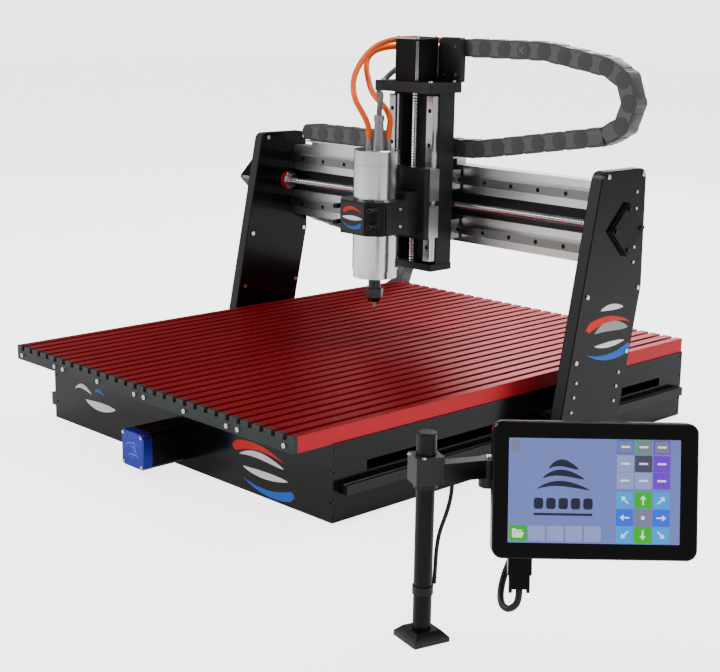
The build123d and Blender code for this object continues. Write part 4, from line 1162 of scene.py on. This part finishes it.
@dataclass
class Tablet:
    """The pendant's touch screen.

    Attributes:
        centre: Middle of its front face.
        turn: Heading of its face in degrees.
        tilt: How far its face looks up, in degrees.
        body: The body it rides on.
        key_start: Middle of the first key column, across.
        key_step: From one key column to the next.
        key_heights: Middles of the key rows, up.
        low_row: Middle of the bottom row of wide keys, up.
        folder_spot: Middle of the folder key.
        arrow: The outline of an arrow that points right.
        folder_back: The outline of the folder's back.
        folder_front: The outline of its front.
    """

    centre: Vector = field(default_factory=lambda: Vector((0.872, -0.505, 0.199)))
    turn: float = 46.0
    tilt: float = 13.0
    body: str = "pendant_tablet_body"
    key_start: float = 0.0328
    key_step: float = 0.0204
    key_heights: tuple = (0.0500, 0.0313, 0.0124, -0.0094, -0.0290, -0.0481)
    low_row: float = -0.0480
    folder_spot: tuple = (-0.0860, -0.0480)
    arrow: tuple = ((-0.0055, -0.0008), (0.0012, -0.0008), (0.0012, -0.0035), (0.0055, 0),
                    (0.0012, 0.0035), (0.0012, 0.0008), (-0.0055, 0.0008))
    folder_back: tuple = ((-0.0065, -0.0045), (-0.0065, 0.005), (-0.003, 0.005), (-0.002, 0.0036),
                          (0.0045, 0.0036), (0.0045, 0.002), (-0.0035, 0.002))
    folder_front: tuple = ((-0.0060, -0.0048), (-0.003, 0.0012), (0.0068, 0.0012),
                           (0.0045, -0.0048))

    def plane(self) -> Matrix:
        """The frame on the tablet's front face.

        Returns:
            Its own X to the right and its own Y up.
        """
        turn, tilt = math.radians(self.turn), math.radians(self.tilt)
        out = Vector((math.sin(turn) * math.cos(tilt), -math.cos(turn) * math.cos(tilt),
                      math.sin(tilt)))
        return facing(self.centre, out, Vector((math.cos(turn), math.sin(turn), 0)))

    def spot(self, x: float, y: float, out: float) -> tuple:
        """A point near the tablet.

        Args:
            x: Millimetres to the right of its middle.
            y: Millimetres up from its middle.
            out: Millimetres in front of its face.

        Returns:
            The point in millimetres.
        """
        return tuple(value / MM for value in self.plane() @ Vector((x * MM, y * MM, out * MM)))

    def _plate(self, name: str, finish: Finish, spot: tuple, size: tuple, lift: float,
               radius: float = 0.8 * MM) -> None:
        """Adds one thin plate on the face.

        Args:
            name: The object's name.
            finish: Its finish.
            spot: Its middle on the face.
            size: Its width and height.
            lift: How far its top stands above the face.
            radius: Its corners' radius.
        """
        piece = Piece(name, finish, self.body, "tablet_black")
        piece.outline(rounded(*size, radius), lift, self.plane() @ Matrix.Translation((*spot, 0)))
        piece.finish_up()

    def make(self) -> None:
        """Builds the screen, its keys and the lead's thumbscrews."""
        self._plate("tablet_bezel", PLASTIC, (0, 0.001), (0.212, 0.138), 0.15 * MM, 5 * MM)
        self._plate("tablet_screen", SCREEN, (-0.0014, -0.0002), (0.192, 0.117), 0.3 * MM)
        self._emblem()
        self._keys()
        self._thumbscrews()

    def _emblem(self) -> None:
        """Adds a plain three-wave emblem on the screen's left."""
        piece = Piece("screen_emblem", key_finish("slate", (0.008, 0.010, 0.03)), self.body,
                      "tablet_black")
        place = self.plane()
        for number, (width, y) in enumerate(((0.034, 0.024), (0.048, 0.013), (0.060, 0.001))):
            spot = Matrix.Translation((-0.036, y, 0))
            piece.outline(swoosh(width, 0.007, 0.008 - 0.001 * number), 0.45 * MM, place @ spot)
        for number in range(5):
            spot = Matrix.Translation((-0.0635 + number * 0.0138, -0.0145, 0))
            piece.outline(rounded(0.0105, 0.0125, 0.003), 0.45 * MM, place @ spot)
        piece.outline(rounded(0.066, 0.0026, 0.001), 0.45 * MM,
                      place @ Matrix.Translation((-0.036, -0.0265, 0)))
        piece.finish_up()

    def _keys(self) -> None:
        """Adds the key rows: readouts, modes, arrows and the bottom row."""
        green, blue = key_finish("green", (0.0, 0.42, 0.0)), key_finish("blue", (0.0, 0.09, 0.85))
        sky, grey = key_finish("sky", (0.0, 0.30, 0.85)), key_finish("grey", (0.16, 0.16, 0.26))
        purple = key_finish("purple", (0.15, 0.0, 0.60))
        dark, pale = key_finish("dark", (0.05, 0.05, 0.09)), key_finish("pale", (0.24, 0.29, 0.56))
        rows = ((blue, green, purple), (pale, dark, purple), (pale, pale, purple),
                (sky, green, sky), (blue, grey, blue), (sky, green, sky))
        for row, (finishes, y) in enumerate(zip(rows, self.key_heights)):
            for column, finish in enumerate(finishes):
                spot = (self.key_start + column * self.key_step, y)
                name = f"screen_key_{row}_{column}"
                size = (0.0186, 0.0155) if row == 0 else (0.0190, 0.0184)
                self._plate(name, finish, spot, size, 0.5 * MM)
                self._key_mark(f"{name}_mark", row, column, spot)
        for column in range(3):
            spot = (self.key_start + column * self.key_step, self.key_heights[0])
            self._plate(f"screen_readout_{column}", grey, spot, (0.0160, 0.0128), 0.6 * MM)
        self._plate("screen_key_folder", green, self.folder_spot, (0.0190, 0.0176), 0.5 * MM)
        self._folder()
        for number in range(4):
            self._plate(f"screen_key_low_{number}", pale,
                        (-0.0652 + number * 0.0208, self.low_row), (0.0188, 0.0172), 0.5 * MM)
        self._plate("screen_key_back", grey, (-0.0895, 0.0490), (0.0092, 0.0115), 0.5 * MM)

    def _folder(self) -> None:
        """Adds the folder sign on the green key."""
        piece = Piece("screen_folder_sign", key_finish("white", (0.85, 0.87, 0.9)), self.body,
                      "tablet_black")
        place = self.plane() @ Matrix.Translation((*self.folder_spot, 0))
        piece.outline(self.folder_back[::-1], 0.62 * MM, place)
        piece.outline(self.folder_front, 0.68 * MM, place)
        piece.finish_up()

    def _key_mark(self, name: str, row: int, column: int, spot: tuple) -> None:
        """Adds a key's white sign: an arrow, or a short bar.

        Args:
            name: The object's name.
            row: The key's row from the top.
            column: The key's column from the left.
            spot: The key's middle.
        """
        piece = Piece(name, key_finish("white", (0.85, 0.87, 0.9)), self.body, "tablet_black")
        place = self.plane() @ Matrix.Translation((*spot, 0))
        if row < 3:
            piece.outline(rounded(0.010, 0.0022, 0.0008), 0.65 * MM, place)
        else:
            across, up = column - 1, 4 - row
            if not (across or up):
                piece.outline(rounded(0.004, 0.004, 0.0012), 0.65 * MM, place)
            else:
                turn = Matrix.Rotation(math.atan2(up, across), 4, "Z")
                piece.outline(self.arrow, 0.65 * MM, place @ turn)
        piece.finish_up()

    def _thumbscrews(self) -> None:
        """Adds the two thumbscrews of the plug under the tablet."""
        piece = Piece("plug_thumbscrews", BLACK_SCREW, self.body, "cable_black")
        for side in (-1, 1):
            place = self.plane() @ Matrix.Translation((-0.082 + side * 0.010, -0.0965, -0.014))
            down = place @ Matrix.Rotation(math.pi / 2, 4, "X")
            piece.disc(2.2 * MM, 21 * MM, down, 16, 0.5 * MM)
        piece.finish_up()


@dataclass
class Stand:
    """The pendant's pole and arm.

    Attributes:
        collar_spots: Places of the collar's screws.
        collar_screw: Radius and height of their heads.
        elbow: Top of the elbow's pin.
        elbow_screw: Radius and height of the head on it.
    """

    collar_spots: tuple = ((0.700, -0.6275), (0.724, -0.6275))
    collar_screw: tuple = (2.4 * MM, 2.0 * MM)
    elbow: tuple = (0.745, -0.540, 0.215)
    elbow_screw: tuple = (3.6 * MM, 2.6 * MM)

    def make(self) -> None:
        """Builds the screws on the collar and the elbow."""
        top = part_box("pendant_arm")[1].z
        piece = Piece("collar_screws", SCREW, "pendant_arm_body", "screw_steel")
        piece.screws(self.collar_screw, [(x, y, top) for x, y in self.collar_spots], UP, RIGHT)
        piece.screws(self.elbow_screw, [self.elbow], UP, RIGHT)
        piece.finish_up()


# ---------------------------------------------------------------- the whole machine
def hoses() -> list:
    """The hoses and cables, with the routes that their CAD solids have.

    Returns:
        The tubes.
    """
    port_reach, port_heading = 17.0, math.radians(46)
    east, north = port_reach * math.cos(port_heading), port_reach * math.sin(port_heading)
    across = ("z_carriage", "x_carriage")
    left = [(2 - east, 3 - north, 498), (2 - east, 3 - north, 514), (-14, -12.5, 530),
            (-23, -17, 546), (-35, -19, 562), (-48, -13, 580), (-59, -1, 599), (-67, 17, 617),
            (-72, 37, 634), (-74, 59, 649), (-69, 83, 660), (-57, 107, 665), (-39, 127, 666),
            (-16, 143, 665), (10, 154, 663), (38, 157, 662), (68, 157, 662)]
    right = [(2 + east, 3 + north, 498), (2 + east, 3 + north, 512), (15, 17.5, 526),
             (10.5, 19, 539), (1, 19.5, 549), (-11, 19, 558), (-25, 18.5, 568), (-40, 22, 580),
             (-53, 29, 595), (-66, 37, 609), (-77, 46, 623), (-84, 60, 636), (-85, 78, 645),
             (-79, 98, 650), (-67, 117, 652), (-51, 133, 652), (-31, 145, 651), (-8, 152.5, 650),
             (16, 156.5, 650), (42, 157, 650.5), (68, 157, 650.5)]
    grey = [(2, 3, 538), (2, 3, 549), (1, 6, 560), (-4, 12, 569), (-16, 24, 574), (-34, 40, 572),
            (-54, 57, 568.5), (-73, 74, 571), (-86, 93, 584), (-88, 114, 600), (-78, 133, 616),
            (-59, 149, 628), (-36, 160, 635), (-10, 167, 640), (17, 170, 643.5), (44, 170.5, 645),
            (68, 170.5, 645)]
    tablet, plug = Tablet(), -14.0
    lead = [tablet.spot(x, y, plug + out) for x, y, out in (
        (-82, -113, 0), (-82, -124, 0), (-86, -133, -2), (-94, -138, -8), (-100, -134, -16),
        (-101, -123, -24), (-97, -105, -30), (-88, -83, -34), (-76, -61, -36), (-61, -41, -34),
        (-50, -26, -26), (-41, -19, -18), (-30, -19, -18))]
    along_arm = 0.42
    hang = Vector((712 + 33 * along_arm, -612 + 72 * along_arm, 0))
    drop = [(hang.x + x, hang.y + y, z) for x, y, z in (
        (0, 0, 193), (0, 0, 181), (-1, -2, 165), (-4, -6, 147), (-8, -11, 128), (-9, -14, 107),
        (-8, -16, 87))] + [(718, -599, 67)]
    return [
        Tube("coolant_hose_left", "hose_left", ORANGE, "hose_orange", 5.1, left, across),
        Tube("coolant_hose_right", "hose_right", ORANGE, "hose_orange", 5.1, right, across),
        Tube("spindle_lead", "spindle_cable", GREY_CABLE, "cable_grey", 4.8, grey, across),
        Tube("tablet_lead", "pendant_cable", BLACK_CABLE, "cable_black", 4.0, lead,
             ("pendant_tablet_body",)),
        Tube("pole_lead", "pole_cable", BLACK_CABLE, "cable_black", 2.5, drop,
             ("root", "pendant_arm_body"), "hanging"),
    ]


def chains() -> list:
    """The two cable chains.

    Returns:
        The chains.
    """
    radius, x_slope, y_slope = 0.056, 9, 23
    upper_level, lower_level, x_start, x_anchor = 0.653, 0.4775, 0.068, -0.345
    lean = math.radians(x_slope)
    centre_x = (0.362, 0.577)
    end_x = centre_x[0] + radius * math.sin(lean)
    top, low = centre_x[1] + radius * math.cos(lean), centre_x[1] - radius * math.cos(lean)
    corner_top = end_x - (upper_level - top) / math.tan(lean)
    corner_low = end_x - (low - lower_level) / math.tan(lean)
    x_chain = CableChain(
        "x_chain", ("x_chain_upper", "x_chain_lower", "x_chain_bend_upper", "x_chain_bend_lower"),
        ("x_carriage", "gantry", "x_bend_high", "x_bend_low"), RIGHT, BACK * 0.162, centre_x,
        radius, x_slope, x_slope, [(x_start, upper_level), (corner_top, upper_level)],
        [(x_anchor, lower_level), (corner_low, lower_level)], (7, 16))
    lean, centre_y, level_run = math.radians(y_slope), (0.4135, 0.168), 0.097
    end_y, top_y = centre_y[0] + radius * math.sin(lean), centre_y[1] + radius * math.cos(lean)
    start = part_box("beam")[1].y + 0.005
    corner_y = start + level_run
    y_chain = CableChain(
        "y_chain", ("y_chain_upper", "y_chain_lower", "y_chain_bend_upper", "y_chain_bend_lower"),
        ("gantry", "root", "y_bend_high", "y_bend_low"), BACK, RIGHT * -0.38265, centre_y, radius,
        y_slope, 0, [(start, 0.3125), (corner_y, top_y + (end_y - corner_y) * math.tan(lean))],
        [(-0.065, 0.112)], (6, 11))
    return [x_chain, y_chain]


def motors() -> list:
    """The three axis motors.

    Returns:
        The motors.
    """
    y_screw_level, z_screw_place = 0.043, 0.095
    x_low, x_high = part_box("x_motor")
    y_low, y_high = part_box("y_motor_cap")
    z_low, z_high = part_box("z_motor")
    return [
        Motor("x_motor", "gantry", Vector((x_high.x, X_SCREW_Y, X_SCREW_Z)), -RIGHT, BACK + UP,
              x_high.x - x_low.x),
        Motor("y_motor", "root", Vector((0, y_high.y, y_screw_level)), -BACK, RIGHT,
              y_high.y - y_low.y, 29 * MM),
        Motor("z_motor", "x_carriage", Vector((0, z_screw_place, z_low.z)), UP, RIGHT,
              z_high.z - z_low.z, cap=3 * MM),
    ]


@dataclass
class Studio:
    """Floor, lights and camera.

    Attributes:
        place: Where the camera is.
        heading: Its heading in degrees.
        pitch: How far it looks down, in degrees.
        roll: How far it leans, in degrees.
        lens: Its focal length in millimetres.
        sensor: Width of its sensor in millimetres.
        far: The furthest distance it sees.
        reach: Half the floor's side.
        dark: Brightness of the dark flags.
        ambient: Strength of the light panels.
        wall: Brightness of the walls to the camera.
        aim: The point that the lamps face.
        lamps: Name, place, side and watts of each lamp.
        panels: Position round the set and brightness of each change of light.
    """

    place: tuple = (1.7908, -1.7614, 0.7260)
    heading: float = 46.01
    pitch: float = 12.98
    roll: float = 0.92
    lens: float = 72.2
    sensor: float = 36.0
    far: float = 50.0
    reach: float = 14.0
    dark: float = 0.05
    ambient: float = 0.8
    wall: float = 3.2
    aim: tuple = (0, 0, 0.25)
    lamps: tuple = (("key", (-1.9, -2.6, 2.9), 1.8, 120), ("fill", (3.4, 0.6, 1.6), 1.6, 26),
                    ("top", (0.6, 1.2, 3.0), 2.0, 70), ("rear", (-1.4, 3.0, 2.0), 1.8, 50))
    panels: tuple = ((0.06, 0.05), (0.10, 0.95), (0.16, 0.95), (0.20, 0.05), (0.34, 0.05),
                     (0.38, 0.8), (0.43, 0.8), (0.47, 0.05), (0.62, 0.05), (0.67, 0.9),
                     (0.74, 0.9), (0.79, 0.05), (0.90, 0.05), (0.94, 0.5), (0.97, 0.5))

    def make(self) -> None:
        """Builds the studio."""
        self._camera()
        self._floor()
        self._world()
        for lamp in self.lamps:
            self._light(*lamp)

    def _camera(self) -> None:
        """Places the camera."""
        turn, pitch, roll = (math.radians(angle) for angle in (self.heading, self.pitch, self.roll))
        back = Vector((math.sin(turn) * math.cos(pitch), -math.cos(turn) * math.cos(pitch),
                       math.sin(pitch)))
        right = Vector((math.cos(turn), math.sin(turn), 0))
        up = back.cross(right)
        right, up = (math.cos(roll) * right + math.sin(roll) * up,
                     math.cos(roll) * up - math.sin(roll) * right)
        lens = bpy.data.cameras.new("camera")
        lens.lens, lens.sensor_width, lens.sensor_fit = self.lens, self.sensor, "HORIZONTAL"
        lens.clip_end = self.far
        camera = bpy.data.objects.new("camera", lens)
        camera.matrix_world = Matrix.Translation(self.place) @ Matrix(
            (right, up, back)).transposed().to_4x4()
        bpy.context.scene.collection.objects.link(camera)
        bpy.context.scene.camera = camera

    def _floor(self) -> None:
        """Lays the pale floor."""
        mesh = bpy.data.meshes.new("floor")
        corners = ((-1, -1), (1, -1), (1, 1), (-1, 1))
        mesh.from_pydata([(x * self.reach, y * self.reach, 0) for x, y in corners], [],
                         [(0, 1, 2, 3)])
        mesh.materials.append(self._floor_finish())
        floor = bpy.data.objects.new("floor", mesh)
        bpy.context.scene.collection.objects.link(floor)

    def _floor_finish(self) -> bpy.types.Material:
        """Makes the floor glow faintly, so that it meets the white walls without an edge.

        Returns:
            The floor's material.
        """
        made = FLOOR.material()
        nodes, links = made.node_tree.nodes, made.node_tree.links
        ray = nodes.new("ShaderNodeLightPath")
        glow = nodes.new("ShaderNodeMapRange")
        glow.inputs["To Min"].default_value = FLOOR.glow
        glow.inputs["To Max"].default_value = self.wall
        links.new(ray.outputs["Is Camera Ray"], glow.inputs["Value"])
        links.new(glow.outputs["Result"], nodes["Principled BSDF"].inputs["Emission Strength"])
        return made

    def _world(self) -> None:
        """Surrounds the set with white walls and dark flags between soft light panels."""
        world = bpy.data.worlds.new("studio")
        world.use_nodes = True
        nodes, links = world.node_tree.nodes, world.node_tree.links
        panels = nodes["Background"]
        around = nodes.new("ShaderNodeTexCoord")
        sweep = nodes.new("ShaderNodeTexGradient")
        sweep.gradient_type = "RADIAL"
        links.new(around.outputs["Generated"], sweep.inputs["Vector"])
        ramp = nodes.new("ShaderNodeValToRGB")
        ramp.color_ramp.interpolation = "EASE"
        stops = ramp.color_ramp.elements
        stops[0].position, stops[0].color = 0.0, (*(self.dark,) * 3, 1)
        stops[1].position, stops[1].color = 1.0, (*(self.dark,) * 3, 1)
        for position, level in self.panels:
            stop = stops.new(position)
            stop.color = (level, level, level, 1)
        links.new(sweep.outputs["Fac"], ramp.inputs["Fac"])
        links.new(ramp.outputs["Color"], panels.inputs["Color"])
        panels.inputs["Strength"].default_value = self.ambient
        wall = nodes.new("ShaderNodeBackground")
        wall.inputs["Color"].default_value = (1, 1, 1, 1)
        wall.inputs["Strength"].default_value = self.wall
        ray = nodes.new("ShaderNodeLightPath")
        either = nodes.new("ShaderNodeMixShader")
        links.new(ray.outputs["Is Camera Ray"], either.inputs["Fac"])
        links.new(panels.outputs["Background"], either.inputs[1])
        links.new(wall.outputs["Background"], either.inputs[2])
        links.new(either.outputs["Shader"], nodes["World Output"].inputs["Surface"])
        bpy.context.scene.world = world

    def _light(self, name: str, place: tuple, size: float, power: float) -> None:
        """Adds one soft light aimed at the machine.

        Args:
            name: Its name.
            place: Where it hangs.
            size: Its side.
            power: Its power in watts.
        """
        lamp = bpy.data.lights.new(name, "AREA")
        lamp.size, lamp.energy = size, power
        made = bpy.data.objects.new(name, lamp)
        made.location = place
        aim = Vector(self.aim) - Vector(place)
        made.rotation_euler = aim.to_track_quat("-Z", "Y").to_euler()
        bpy.context.scene.collection.objects.link(made)


def main() -> None:
    """Builds the scene."""
    logging.basicConfig(level=logging.INFO, format="%(name)s: %(message)s")
    Studio().make()
    for tube in hoses():
        tube.make()
    paint_nodes()
    for chain in chains():
        chain.make()
    for motor in motors():
        motor.make()
    for part in (Bed(), BlueCap(), Gantry(), ZAssembly(), Tablet(), Stand()):
        part.make()


if __name__ == "__main__":
    main()
